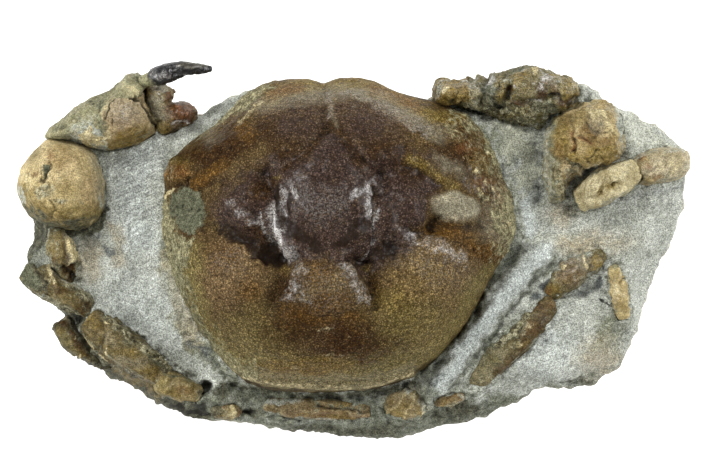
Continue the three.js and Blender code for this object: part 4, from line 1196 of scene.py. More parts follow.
RIGHT_CLAW = [
    ("green", 0.9, spot(489, 92, 8, 14, 0, 0.7, 4), spot(496, 104, 10, 5, 0, 0.7, 4),
        spot(517, 122, 12, 5, 0, 0.7, 4), spot(540, 110, 12, 6)),
    ("murk", 0.5, spot(487, 92, 3, 10, 0, 0.7, 3), spot(494, 102, 6, 4), spot(518, 122, 7, 3)),
    ("rise", 0.8, patch((434, 86), (442, 83), (470, 82), (470, 97), (440, 100), soft=3),
        spot(499, 90, 8, 8), spot(525, 84, 15, 11)),
    ("rise", 0.7, stroke(3.5, (542, 92), (550, 88), (560, 84)), spot(570, 88, 8, 7),
        spot(560, 101, 11, 4), spot(534, 77, 3, 5)),
    ("rise", -1.2, stroke(3.5, (486, 76), (486, 90), (482, 102)), stroke(2.5, (510, 84), (508, 98)),
        stroke(2, (546, 96), (552, 93), (562, 95))),
    ("rise", -0.8, stroke(3, (484, 104), (500, 108), (520, 106), (530, 100)),
        stroke(2.5, (566, 102), (574, 99), (578, 90)), spot(461, 100, 3, 5)),
    ("rise", -0.7, patch((442, 106), (470, 103), (500, 108), (545, 110), (566, 112), (556, 130),
            (520, 136), (484, 120), soft=5, rough=5)),
    ("ochre", 0.7, patch((430, 82), (466, 80), (470, 98), (434, 102), soft=3), spot(498, 91, 8, 8),
        spot(572, 88, 9, 8), spot(470, 90, 8, 5), spot(520, 78, 8, 4), spot(556, 76, 8, 3)),
    ("umber", 0.4, spot(438, 98, 6, 5), spot(456, 86, 6, 4), spot(500, 86, 5, 5)),
    ("green", 0.4, spot(524, 84, 18, 12, 5, 0.8, 5), spot(556, 82, 12, 8, 0, 0.8, 5)),
    ("olive", 0.9, spot(524, 84, 16, 10, 5, 0.6, 4), spot(508, 116, 8, 4), spot(560, 106, 10, 5),
        spot(556, 80, 10, 5)),
    ("warm", 0.8, spot(551, 89, 10, 3, -25), spot(564, 101, 12, 5), spot(530, 112, 4, 5)),
    ("umber", 0.9, spot(509, 92, 4, 8), spot(518, 102, 10, 5), spot(540, 94, 5, 5), spot(566, 98, 10, 3),
        spot(458, 100, 4, 6)),
    ("grey", 0.6, spot(584, 92, 10, 12), spot(475, 92, 6, 9), spot(552, 87, 7, 2, -25)),
    ("stony", 0.8, spot(472, 100, 8, 9, 0, 0.7, 4), spot(542, 108, 14, 7, 0, 0.7, 4),
        spot(584, 92, 9, 12, 0, 0.7, 4), spot(530, 118, 8, 5)),
    ("green", 0.7, spot(494, 106, 14, 6), spot(488, 84, 6, 9), spot(545, 106, 14, 8),
        spot(520, 70, 14, 3), spot(555, 116, 12, 5)),
    ("cream", 0.9, spot(449, 94, 4, 3), spot(534, 78, 2, 4), spot(472, 97, 3, 4), spot(583, 92, 4, 7),
        spot(446, 92, 3, 2)),
    ("glint", 0.9, spot(546, 81, 5, 5, 0, 0.8, 3), spot(489, 81, 3, 2), spot(540, 88, 4, 2),
        spot(516, 84, 2, 2), spot(537, 100, 4, 2)),
    ("rough", 0.5, patch((464, 96), (480, 98), (500, 100), (530, 98), (556, 104), (548, 120), (512, 132),
            (470, 112), soft=6, rough=6)),
    ("murk", 0.15, spot(516, 124, 14, 7), spot(542, 120, 8, 8), spot(485, 92, 5, 11),
        spot(554, 116, 10, 4), spot(448, 104, 12, 4)),
    ("dark", 0.7, stroke(1, (547, 96), (553, 93), (561, 96), rough=1),
        stroke(0.9, (566, 102), (573, 100), (577, 94), rough=1), spot(522, 128, 7, 2)),
    ("dark", 0.4, spot(486, 94, 2, 6), spot(498, 108, 6, 2), spot(512, 94, 1.4, 5),
        spot(460, 100, 1.5, 4), spot(541, 118, 3, 4), spot(486, 112, 4, 2)),
    ("wet", 0.7, patch((432, 78), (580, 66), (584, 106), (434, 106), soft=4)),
    ("umber", 0.7, patch((432, 82), (468, 80), (470, 100), (432, 102), soft=3, rough=5)),
    ("umber", 0.2, spot(522, 88, 18, 11, 0, 0.9)),
]


def right_claw():
    """The crushed claw at the front right."""
    fossil("right_claw", "crushed_shell", crushed_paint(), 360, RIGHT_CLAW,
           lumps=0.35, chip=3.6, chipped=0.9, clinging=0.4, bedded=0.5, voxel=0.27)


# ---- the legs ------------------------------------------------------------------------------------
RIGHT_LEG_WHITE = [
    ("rise", -0.8, spot(612, 185, 8, 4.5, 10), spot(602, 190, 4, 6, 20)),
    ("rise", -0.5, spot(613, 184, 3, 2.5)),
    ("rise", 0.35, stroke(4, (596, 178), (612, 172), (626, 172)), spot(584, 204, 8, 5),
        stroke(3, (606, 196), (620, 194), (630, 188))),
    ("ochre", 0.6, spot(612, 186, 9, 5, 10), spot(601, 190, 4, 7),
        stroke(2.4, (576, 186), (586, 175), (600, 170))),
    ("umber", 0.6, spot(612, 184, 6, 3), spot(600, 192, 3, 4)),
    ("dark", 0.6, spot(613, 184, 3, 2), spot(618, 182, 3, 1), stroke(1, (598, 196), (602, 192))),
    # The cream spot on the top face is a painted highlight; the one on the knob below is the bone's own
    # colour.
    ("cream", 0.5, spot(586, 203, 8, 5), spot(614, 174, 8, 4)),
    ("olive", 0.3, spot(580, 196, 7, 8), spot(630, 182, 8, 6)),
]


def right_leg_white():
    """The cream, bone-like segment, with its broken hollow."""
    fossil("right_leg_white", "cream_shell", cream_paint(), 370, RIGHT_LEG_WHITE,
           lumps=0.16, chip=5.5, chipped=0.5, flat=(2.0, 0.5), melt=6, voxel=0.24)


RIGHT_LEG_TAN = [
    ("rise", -0.35, stroke(1.6, (640, 176), (660, 168), (684, 162)), stroke(1.6, (650, 184), (672, 178))),
    ("rise", 0.25, stroke(3, (644, 166), (664, 160), (684, 156))),
    ("ochre", 0.6, spot(650, 180, 12, 4, 12), spot(645, 162, 8, 5)),
    ("rust", 0.5, spot(648, 168, 5, 3), spot(657, 176, 4, 3), spot(640, 158, 5, 3)),
    # The cream stroke and spot are painted highlights.
    ("cream", 0.45, stroke(4, (660, 168), (682, 160)), spot(676, 170, 8, 5)),
    ("stone", 0.5, spot(676, 150, 12, 4, 10)),
    ("rough", 0.6, stroke(2.6, (624, 164), (632, 172), (638, 182))),
    ("dark", 0.5, stroke(1.2, (629, 162), (640, 158)), stroke(1.2, (652, 154), (660, 151)),
        stroke(2, (624, 164), (632, 172), (638, 182))),
    ("dark", 0.4, stroke(1.2, (644, 186), (662, 185), (674, 181))),
]


def right_leg_tan():
    """The tan segment at the right end."""
    paint = tan_paint("right_leg_paint", (148, 137, 107), (175, 165, 137))
    fossil("right_leg_tan", "tan_shell", paint, 380, RIGHT_LEG_TAN,
           lumps=0.16, chip=5, chipped=0.3, flat=(2.2, 0.5))


LEFT_LEG_FRONT_JOINT = [
    ("rise", -1.6, patch((62, 266), (70, 264), (79, 268), (80, 284), (70, 280), (64, 272), soft=2.5)),
    ("rise", 0.6, stroke(3.5, (58, 233), (60, 250), (58, 262)),
        patch((66, 236), (80, 256), (84, 266), (70, 262), soft=3)),
    ("rise", -0.4, stroke(2, (46, 240), (52, 250), (48, 262))),
    ("ochre", 0.4, patch((56, 233), (66, 236), (66, 252), (60, 262), (46, 262), (44, 252), soft=4)),
    ("grey", 0.35, patch((62, 232), (70, 240), (80, 256), (82, 264), (68, 262), (64, 248), soft=3)),
    ("umber", 0.9, patch((60, 262), (78, 264), (82, 284), (68, 282), soft=3), spot(48, 260, 10, 5),
        spot(66, 250, 4, 10, 20)),
    ("olive", 0.6, spot(44, 246, 8, 10)),
    ("murk", 0.6, spot(58, 268, 8, 5), spot(38, 240, 6, 10)),
    ("wet", 0.3, patch((46, 236), (66, 236), (66, 262), (46, 262), soft=4)),
    ("dark", 0.8, patch((66, 267), (79, 269), (83, 285), (72, 283), soft=3)),
    ("rough", 0.6, stroke(4, (40, 236), (36, 248), (34, 256)), spot(62, 232, 8, 4)),
    ("grey", 0.7, patch((62, 234), (71, 238), (80, 254), (82, 264), (70, 262), (64, 248), soft=3)),
    ("cream", 0.9, patch((64, 238), (72, 242), (79, 256), (80, 262), (70, 260), soft=3, rough=4)),
]


def left_leg_front_joint():
    """The broken joint behind the left wrist, with its dark hollow."""
    fossil("left_leg_front_joint", "olive_shell", olive_paint(), 390, LEFT_LEG_FRONT_JOINT,
           lumps=0.16, chip=3.2, chipped=0.4, voxel=0.24)


FRONT_SHAFT_BELLY = patch((46, 282), (60, 286), (84, 300), (76, 312), (58, 302), (44, 292), soft=3)
LEFT_LEG_FRONT_SHAFT = [
    ("rise", 0.7, stroke(2.4, (30, 257), (42, 262), (50, 274), (56, 288))),
    ("rise", 0.5, stroke(5, (54, 270), (70, 278), (90, 296))),
    ("rise", -0.6, stroke(2.2, (36, 264), (44, 274), (48, 284)),
        stroke(3.5, (48, 296), (66, 308), (80, 316))),
    ("rise", 0.4, spot(58, 290, 12, 5, -25)),
    ("green", 1.0, patch((18, 262), (36, 266), (44, 280), (42, 292), (24, 288), soft=3)),
    ("olive", 0.8, FRONT_SHAFT_BELLY),
    ("umber", 0.7, spot(60, 291, 12, 4, -25), spot(82, 306, 9, 7, -30)),
    ("cream", 0.7, stroke(2, (32, 257), (42, 262), (50, 274), (55, 284)), spot(46, 280, 3, 4)),
    ("grey", 0.9, stroke(5, (56, 270), (70, 280), (92, 298))),
    ("murk", 0.9, stroke(4, (22, 266), (32, 256), (38, 246)), stroke(3, (36, 268), (44, 280), (46, 290)),
        spot(76, 314, 10, 5, -30)),
    ("stone", 0.6, stroke(2.4, (42, 296), (56, 305), (66, 312))),
    ("rough", 0.6, stroke(4, (46, 298), (62, 308), (80, 316)), stroke(3, (66, 286), (84, 300))),
    ("dark", 0.5, stroke(2, (80, 300), (90, 308)), stroke(1.4, (36, 266), (43, 276)),
        stroke(1.6, (20, 268), (26, 260))),
    ("wet", 0.3, FRONT_SHAFT_BELLY),
    ("umber", 0.25, stroke(9, (46, 286), (64, 294), (84, 304), soft=0.9)),
]


def left_leg_front_shaft():
    """The ridged segment at the far left edge."""
    fossil("left_leg_front_shaft", "olive_shell", olive_paint(), 400, LEFT_LEG_FRONT_SHAFT,
           lumps=0.14, chip=4, chipped=0.35, flat=(1.8, 0.7))


LEFT_LEG_EDGE_PLATE = [
    ("rise", 0.5, stroke(5, (56, 330), (74, 346), (92, 362))),
    ("rise", -0.9, stroke(4, (74, 324), (88, 344), (102, 362))),
    ("olive", 0.5, stroke(4, (60, 334), (74, 344), (88, 356))),
    ("umber", 0.8, spot(66, 318, 8, 7), stroke(4, (72, 332), (86, 350))),
    ("ochre", 0.3, spot(62, 330, 6, 4), spot(82, 350, 4, 4)),
    ("cream", 0.7, spot(77, 338, 1.6, 2), spot(66, 317, 1.2, 1.2), spot(83, 352, 1.2, 1.2)),
    ("murk", 0.9, stroke(5, (70, 316), (80, 332), (96, 356)), stroke(4, (84, 358), (104, 372))),
    ("dark", 0.7, stroke(3.4, (74, 322), (88, 344), (104, 366)), spot(72, 317, 7, 3)),
    ("wet", 0.3, stroke(6, (62, 330), (78, 348), (92, 360))),
]


def left_leg_edge_plate():
    """The dark broken plate at the left rear edge."""
    paint = fossil_paint("dark_olive_paint", (40, 37, 22), (66, 61, 38), (26, 24, 16), (104, 98, 74),
                         crust=0.1)
    fossil("left_leg_edge_plate", "olive_shell", paint, 410, LEFT_LEG_EDGE_PLATE,
           lumps=0.35, chip=3, chipped=0.6, clinging=0.4, bedded=0.2)


LEFT_LEG_REAR_SHAFT = [
    ("rise", 0.4, stroke(1.8, (80, 330), (94, 346), (108, 360), (124, 372), rough=1)),
    ("rise", -0.5, stroke(3.5, (120, 368), (140, 384), (164, 394)),
        stroke(2, (100, 322), (106, 336), (100, 348))),
    ("rise", 0.9, spot(162, 386, 6, 14, -25)),
    ("ochre", 0.5, spot(90, 320, 11, 7, -40), spot(112, 338, 10, 4, -30), spot(150, 372, 14, 5, -25),
        spot(134, 352, 8, 4)),
    ("olive", 0.8, stroke(8, (98, 332), (125, 354), (150, 372), rough=3)),
    # The umber stroke along the lower edge is painted shade.
    ("umber", 0.6, stroke(4, (108, 362), (134, 382), (160, 392)), spot(97, 332, 6, 4, -40),
        spot(140, 378, 10, 4, -20)),
    ("cream", 0.7, stroke(1.2, (80, 330), (94, 346), (108, 360), rough=1), spot(107, 351, 1.6, 4),
        spot(136, 352, 3, 1.2), spot(105, 323, 3, 1.2)),
    ("grey", 0.4, spot(112, 340, 10, 5, -35), spot(128, 362, 12, 4, -30), spot(142, 364, 8, 4)),
    ("green", 0.6, stroke(5, (146, 352), (160, 364), (172, 374)), spot(128, 340, 8, 4, -30),
        stroke(3, (90, 348), (110, 368), (134, 386))),
    ("rough", 0.8, stroke(4, (106, 316), (124, 332), (146, 350), (168, 364)),
        stroke(3, (114, 376), (138, 391), (160, 401)), spot(170, 372, 8, 5)),
    ("dark", 0.5, stroke(1.6, (84, 326), (92, 314)), stroke(1.2, (122, 374), (138, 386)),
        stroke(1, (128, 329), (139, 338), (150, 347), rough=1)),
    ("wet", 0.3, stroke(9, (90, 320), (124, 356), (154, 380), soft=0.9)),
    ("stone", 0.6, stroke(3, (106, 316), (126, 332), (148, 350), (170, 364), rough=5)),
    ("cream", 0.6, stroke(1.3, (84, 340), (96, 356), (110, 371), (132, 387), (156, 400), rough=1.5)),
    # The murk stroke along the lower edge is painted shade.
    ("murk", 0.7, stroke(3, (80, 344), (92, 360), (106, 376), (128, 393), (152, 406), rough=3)),
    ("umber", 0.3, stroke(16, (90, 320), (120, 350), (154, 380), soft=0.95)),
]


def left_leg_rear_shaft():
    """The long brown segment along the left rear edge."""
    fossil("left_leg_rear_shaft", "olive_shell", olive_paint(), 420, LEFT_LEG_REAR_SHAFT,
           lumps=0.1, chip=4.5, chipped=0.28, bedded=0.05, flat=(2.2, 0.8))


LEFT_LEG_REAR_JOINT = [
    ("rise", 0.8, spot(162, 386, 7, 14, -25)),
    ("ochre", 0.5, spot(172, 394, 14, 5, -10), spot(190, 388, 6, 6)),
    ("olive", 0.6, spot(164, 386, 8, 12)),
    ("rust", 0.3, spot(186, 390, 8, 5)),
    ("cream", 0.4, stroke(3, (170, 386), (190, 384), soft=0.9)),
    ("green", 0.6, spot(160, 396, 6, 5), stroke(2, (168, 378), (184, 376), (200, 382))),
    ("murk", 0.7, stroke(3, (164, 403), (184, 406), (200, 403)), spot(200, 394, 4, 8)),
    ("dark", 0.4, stroke(1.4, (166, 404), (184, 406), (200, 403))),
]


def left_leg_rear_joint():
    """The small tan knuckle at the rear shaft's inner end."""
    paint = tan_paint("knuckle_paint", (108, 96, 62), (140, 126, 88))
    fossil("left_leg_rear_joint", "tan_shell", paint, 430, LEFT_LEG_REAR_JOINT,
           lumps=0.16, chip=3.4, chipped=0.35, bedded=0.1, flat=(1.8, 0.6))


HIND_KNOB = [
    ("ochre", 0.5, spot(231, 412, 4, 6), spot(216, 416, 8, 4)),
    ("murk", 0.8, spot(214, 410, 9, 7), stroke(3, (222, 404), (236, 403), (244, 408))),
    ("cream", 0.9, spot(231, 413, 4, 5)),
    ("stony", 0.5, spot(222, 414, 5, 4)),
    ("rust", 0.5, spot(222, 406, 6, 4), spot(240, 412, 4, 4)),
    ("dark", 0.5, stroke(1.6, (220, 405), (232, 407), (242, 414)),
        stroke(1.6, (210, 418), (226, 421), (240, 420))),
]


def hind_knob():
    """The small knob at the rear edge."""
    paint = tan_paint("knob_paint", (90, 82, 58), (120, 110, 82))
    fossil("hind_knob", "tan_shell", paint, 440, HIND_KNOB, lumps=0.3, chip=2.4, chipped=0.45, bedded=0.1)


HIND_LEFT_SHAFT = [
    ("rise", 0.4, stroke(2.4, (266, 409), (286, 415), (302, 411), (330, 411), (366, 413), rough=1)),
    ("rise", -0.6, stroke(1.8, (318, 404), (340, 409), (368, 411), rough=1)),
    ("warm", 0.9, stroke(5, (288, 415), (330, 414), (366, 417))),
    ("wet", 0.4, stroke(4, (290, 412), (330, 411), (366, 414))),
    ("ochre", 0.6, spot(345, 418, 18, 4), spot(348, 402, 14, 4), spot(300, 414, 10, 3)),
    # The second cream stroke, along the top, is a painted highlight; the first is pale shell.
    ("cream", 0.45, stroke(1.8, (262, 404), (276, 408), (290, 414)),
        stroke(1.4, (300, 411), (330, 410), (364, 413), soft=0.9)),
    ("stone", 0.7, stroke(4, (285, 425), (330, 428), (370, 430)), stroke(3, (262, 402), (300, 403))),
    ("rough", 0.5, spot(280, 418, 14, 5), spot(364, 404, 8, 5)),
    ("dark", 0.6, stroke(1.3, (318, 404), (340, 409), (368, 411)),
        stroke(1.5, (296, 424), (320, 422), (345, 424))),
]


def hind_left_shaft():
    """The long thin segment along the rear edge."""
    paint = olive_paint("hind_shaft_paint", (100, 86, 58), (136, 120, 86))
    fossil("hind_left_shaft", "olive_shell", paint, 450, HIND_LEFT_SHAFT,
           lumps=0.12, chip=3.4, chipped=0.28, flat=(1.6, 0.6))


KNUCKLE_RIDGES = [
    stroke(2.2, (388, 412), (400, 402), (406, 390)), stroke(2.2, (404, 416), (412, 404), (414, 392)),
    stroke(2, (420, 418), (424, 404))]
HIND_RIGHT_KNUCKLE = [
    ("rise", 0.35, *KNUCKLE_RIDGES),
    ("ochre", 0.6, spot(398, 410, 12, 9), spot(420, 410, 6, 6)),
    ("cream", 0.45, *KNUCKLE_RIDGES, spot(404, 392, 8, 5)),
    ("stone", 0.8, spot(426, 402, 9, 14, 0, 0.9, 5), spot(408, 386, 14, 5, 0, 0.9, 4),
        spot(400, 424, 18, 3, 0, 0.9, 4)),
    ("green", 0.5, spot(384, 404, 4, 14, 0, 0.9, 4), spot(416, 396, 7, 7, 0, 0.9, 4)),
    ("dark", 0.4, stroke(1.4, (412, 412), (420, 414)), stroke(1.2, (424, 398), (428, 412))),
]


def hind_right_knuckle():
    """The rounded knuckle behind the shell."""
    paint = tan_paint("hind_knuckle_paint", (116, 102, 72), (148, 134, 100))
    fossil("hind_right_knuckle", "tan_shell", paint, 460, HIND_RIGHT_KNUCKLE,
           lumps=0.2, chip=3.4, chipped=0.35)


RIGHT_LEG_REAR_STRIP = [
    ("warm", 0.8, spot(450, 399, 12, 4, 15)),
    ("ochre", 0.4, spot(442, 404, 8, 3, 20)),
    ("stone", 0.5, spot(462, 396, 6, 4, 0, 0.9, 4), spot(436, 408, 6, 3, 0, 0.9, 4)),
    ("rough", 0.6, stroke(3, (434, 410), (450, 406), (464, 402))),
]


def right_leg_rear_strip():
    """The short thin segment beside the knuckle."""
    paint = olive_paint("strip_paint", (112, 99, 70), (144, 130, 98))
    fossil("right_leg_rear_strip", "olive_shell", paint, 470, RIGHT_LEG_REAR_STRIP,
           lumps=0.2, chip=2.6, chipped=0.4)


RIGHT_LEG_REAR_SHAFT = [
    ("rise", -0.4, stroke(2, (524, 322), (518, 336), (504, 344)), stroke(2, (538, 300), (532, 312))),
    ("rise", 0.3, spot(546, 308, 10, 6, 30), spot(484, 372, 18, 7, 45)),
    ("rise", 0.6, spot(552, 300, 9, 5, 30), stroke(4, (462, 372), (476, 356), (492, 344))),
    ("umber", 0.55,
        stroke(5, (554, 306), (545, 320), (532, 338), (514, 358), (498, 372), soft=0.9, rough=4)),
    ("orange", 0.3, spot(548, 307, 9, 5, 30), spot(534, 322, 6, 5, 50)),
    ("dark", 0.3, spot(547, 308, 11, 9, 30, 0.9, 5)),
    ("rust", 0.25, spot(528, 332, 9, 6, 50, 0.8, 4), spot(536, 306, 6, 6)),
    ("grey", 0.4, spot(484, 374, 18, 6, 45, 0.8, 5), spot(500, 352, 8, 6)),
    ("ochre", 0.3, spot(478, 382, 14, 6, 40), spot(524, 344, 5, 3)),
    ("olive", 0.6, spot(490, 364, 20, 7, 45)),
    ("green", 0.5, spot(484, 366, 26, 8, 45, 0.8, 6)),
    ("green", 0.8, stroke(5, (526, 314), (512, 334), (494, 344)),
        stroke(3, (490, 346), (472, 364), (458, 388), rough=3)),
    ("cream", 0.5, spot(520, 342, 4, 3), spot(534, 301, 5, 2), spot(530, 328, 3, 3)),
    ("rough", 0.8, stroke(4, (530, 312), (516, 330), (498, 344)), spot(536, 300, 7, 3)),
    ("dark", 0.5, stroke(1.4, (527, 304), (522, 316), (510, 330)),
        stroke(1, (482, 352), (470, 366), (460, 380))),
    ("wet", 0.3, stroke(7, (550, 304), (530, 336), (500, 368))),
    ("umber", 0.45, spot(547, 308, 11, 9, 30, 0.8)),
]


def right_leg_rear_shaft():
    """The long curved segment on the right rear."""
    fossil("right_leg_rear_shaft", "olive_shell", olive_paint(), 480, RIGHT_LEG_REAR_SHAFT,
           lumps=0.12, chip=4, chipped=0.28, flat=(2.0, 0.75))


RIGHT_LEG_REAR_JOINT = [
    ("rise", 0.4, spot(595, 264, 6, 6), spot(568, 262, 8, 6)),
    ("rise", -0.4, stroke(2, (590, 258), (589, 268), (586, 276)), stroke(2, (562, 262), (560, 274))),
    # The grey spots are painted soft highlights.
    ("grey", 0.5, spot(582, 262, 6, 9), spot(570, 262, 8, 5)),
    ("ochre", 0.7, spot(595, 263, 6, 6), spot(556, 288, 9, 7, 40)),
    ("rust", 0.5, spot(568, 260, 8, 5), spot(550, 292, 5, 4)),
    ("warm", 0.6, spot(572, 275, 16, 10, 20)),
    # The cream stroke at the top is a painted highlight.
    ("cream", 0.7, stroke(1.6, (584, 256), (586, 268)), spot(564, 268, 2, 4)),
    ("stone", 0.6, stroke(4, (556, 268), (562, 260), (575, 254), (590, 254)),
        stroke(3, (604, 268), (590, 286), (566, 300), rough=5)),
    ("dark", 0.5, stroke(1.5, (592, 274), (600, 264), (600, 256)), stroke(1.4, (546, 278), (556, 268))),
    ("wet", 1.0, spot(575, 270, 24, 16)),
]


def right_leg_rear_joint():
    """The smooth segment that carries on from the rear shaft."""
    fossil("right_leg_rear_joint", "olive_shell", olive_paint(), 490, RIGHT_LEG_REAR_JOINT,
           lumps=0.12, chip=4, chipped=0.25, flat=(2.0, 0.5))


RIGHT_LEG_TIP = [
    ("rise", -0.9, spot(607, 284, 3, 7), spot(608, 300, 3, 4), spot(626, 276, 3, 5)),
    ("rise", -0.4, stroke(1.6, (620, 262), (624, 276), (620, 290))),
    ("ochre", 0.5, spot(615, 278, 4, 10), spot(618, 308, 6, 5)),
    ("stony", 0.9, spot(614, 260, 12, 8)),
    # The cream spot is a painted highlight.
    ("cream", 0.6, spot(618, 292, 4, 6)),
    ("dark", 0.4, stroke(1.2, (610, 270), (608, 284))),
    ("wet", 1.0, spot(617, 292, 6, 18)),
]


def right_leg_tip():
    """The pale sliver beside the right rear joint."""
    paint = fossil_paint("tip_paint", (156, 138, 92), (186, 170, 124), (108, 90, 56), (214, 200, 164),
                         grain=(0.7, 1.3), shine=0.5)
    fossil("right_leg_tip", "cream_shell", paint, 500, RIGHT_LEG_TIP,
           lumps=0.2, chip=3, chipped=0.5, voxel=0.24)


# ---- the stone -----------------------------------------------------------------------------------
RIGHT_TRENCH = [(516, 250), (497, 268), (478, 296), (462, 326), (442, 354), (424, 374)]
REAR_TRENCH = [(236, 384), (262, 392), (300, 397), (345, 398), (380, 393), (404, 384)]
BRIGHT_RIDGE = [(544, 252), (509, 288), (479, 330), (454, 364), (432, 392)]
RIGHT_GUTTER = [(556, 258), (536, 278), (518, 300), (494, 334), (470, 362), (450, 388)]
# How far the stone buries each piece's walls, as a share, and how much higher it then banks up, in mm.
BANKS = {
    "carapace": (0.16, 1.0),
    "left_wrist": (0.3, 0.5),
    "left_palm": (0.5, 0.7),
    "left_leg_front_joint": (0.5, 0.8),
    "left_leg_front_shaft": (0.4, 0.7),
    "left_leg_rear_shaft": (0.6, 0.9),
    "left_leg_rear_joint": (0.6, 0.9),
    "left_leg_edge_plate": (0.3, 0.6),
    "hind_knob": (0.6, 0.8),
    "hind_left_shaft": (0.6, 1.0),
    "hind_right_knuckle": (0.7, 1.2),
    "right_leg_rear_strip": (0.6, 0.9),
    "right_leg_rear_shaft": (0.7, 0.8),
    "right_leg_rear_joint": (0.6, 1.0),
    "right_leg_tip": (0.6, 0.8),
    "right_wrist": (0.5, 0.8),
    "right_claw": (0.5, 0.8),
    "right_leg_white": (0.3, 0.4),
    "right_leg_tan": (0.4, 0.5),
}
# To find the stone's level around a piece: how steep its wall is, how far outside it the level is taken,
# and how far below the usual level a place still counts, in mm.
STEEP = 0.7
NEARBY = 1.5
DEEPEST = 2
# To plug a pocket: how far to each side stone is looked for, and how much the plug then grows or shrinks.
BESIDE = 0.9
PLUG_GROWS = 0.5
PLUG_SHRINKS = 0.7


def stone_tree():
    """The CAD stone in mm, to ask how high it is at a place."""
    work = in_millimetres(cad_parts["stone"].data)
    tree = BVHTree.FromBMesh(work)
    work.free()
    return tree


def level_at(tree, x, y):
    """The height of the CAD stone at a place, or None beside it."""
    place = tree.ray_cast(Vector((x, y, 100)), Vector((0, 0, -1)))[0]
    return place and place.z


def plane_around(work, tree):
    """The centre and the normal of the stone's surface around a piece."""
    spots = []
    for vert in work.verts:
        outward = vert.normal.xy
        if outward.length > STEEP:
            x, y = vert.co.xy + outward.normalized() * NEARBY
            level = level_at(tree, x, y)
            if level is not None:
                spots.append((x, y, level))
    spots = np.array(spots)
    spots = spots[spots[:, 2] > np.median(spots[:, 2]) - DEEPEST]
    centre = spots.mean(axis=0)
    slope = np.linalg.lstsq(spots[:, :2] - centre[:2], spots[:, 2] - centre[2], rcond=None)[0]
    return centre, (-slope[0], -slope[1], 1)


def plug(node, tree):
    """What fills the stone's pocket under a piece, up to the level of the stone around it, in mm.

    It is a little larger than the piece where there is stone BESIDE it, and smaller elsewhere.
    """
    piece = closed_copy(node)
    work = bmesh.new()
    work.from_mesh(piece.data)
    work.normal_update()
    centre, upward = plane_around(work, tree)
    for vert in work.verts:
        x, y = vert.co.xy
        beside = [(x + BESIDE, y), (x - BESIDE, y), (x, y + BESIDE), (x, y - BESIDE)]
        covered = all(level_at(tree, *place) is not None for place in beside)
        vert.co += vert.normal * (PLUG_GROWS if covered else -PLUG_SHRINKS)
    cut_off(work, centre, upward)
    work.to_mesh(piece.data)
    work.free()
    return piece


def filled_stone():
    """The CAD stone with its pockets filled, so that it runs on under every piece that it carries."""
    stone, tree, work = closed_copy("stone"), stone_tree(), bmesh.new()
    work.from_mesh(stone.data)
    for node in BANKS:
        filling = plug(node, tree)
        work.from_mesh(filling.data)
        bpy.data.objects.remove(filling)
    work.to_mesh(stone.data)
    work.free()
    return stone


# How far from a wall the banked slope and its edge reach, how much of the wall's height counts, and how far
# around a piece the stone is looked at, in mm.
BANK_REACH = 1.9
BANK_EDGE = 1.2
BANK_WALL = 4
BANK_AROUND = 5


def banked(points, up):
    """How far the stone rises against its fossils, in mm, and how near they are, from 0 to 1."""
    rise, close = np.zeros(len(points)), np.zeros(len(points))
    broken = np.clip(0.7 + 0.8 * layered(points, 1.5, 230, 3), 0, 1.8)
    for node, (share, height) in BANKS.items():
        rim = RIMS[node]
        low, high = rim.min(axis=0) - BANK_AROUND, rim.max(axis=0) + BANK_AROUND
        around = ((points[:, :2] > low[:2]) & (points[:, :2] < high[:2])).all(axis=1) & (up > 0.05)
        distance, number = nearest(points[around], rim)
        wall = np.clip(rim[number, 2] - points[around, 2], 0, BANK_WALL)
        slope = np.exp(-(distance / BANK_REACH) ** 2)
        edge = np.exp(-(distance / BANK_EDGE) ** 2)
        rise[around] = np.maximum(rise[around], share * wall * slope + height * edge * broken[around])
        close[around] = np.maximum(close[around], 1 - smooth(0.3, 2.2, distance))
    return rise * up, close * up


STONE_RELIEF = [
    ("rise", 1.4, stroke(10, *BRIGHT_RIDGE, soft=0.9)),
    ("rise", -0.6, stroke(5, *REAR_TRENCH, soft=0.9), stroke(5, *RIGHT_TRENCH, soft=0.9),
        stroke(3, *RIGHT_GUTTER, soft=0.9)),
    ("rise", -0.5, stroke(1.1, (128, 328), (139, 338), (150, 348)), stroke(1.1, (155, 352), (167, 360)),
        stroke(1.1, (176, 366), (188, 373), (200, 384))),
    ("rise", -0.5, stroke(1.2, (600, 300), (607, 304), (613, 308), (614, 316), (627, 320)),
        stroke(1.0, (545, 295), (557, 303))),
    ("rise", -2.4, spot(206, 389, 6, 7, 0, 0.5, 2)),
    ("rise", -1.0, stroke(4, (168, 408), (186, 413), (208, 412)), spot(246, 412, 9, 3)),
    ("rise", -0.7, stroke(7, (536, 150), (532, 164), (533, 182), (538, 200), soft=0.9),
        spot(583, 290, 14, 5, 15)),
    ("rise", 0.4, stroke(1.5, (125, 222), (124, 236), (132, 246)),
        stroke(1.5, (140, 215), (150, 205), (160, 196)), spot(585, 246, 22, 6)),
]

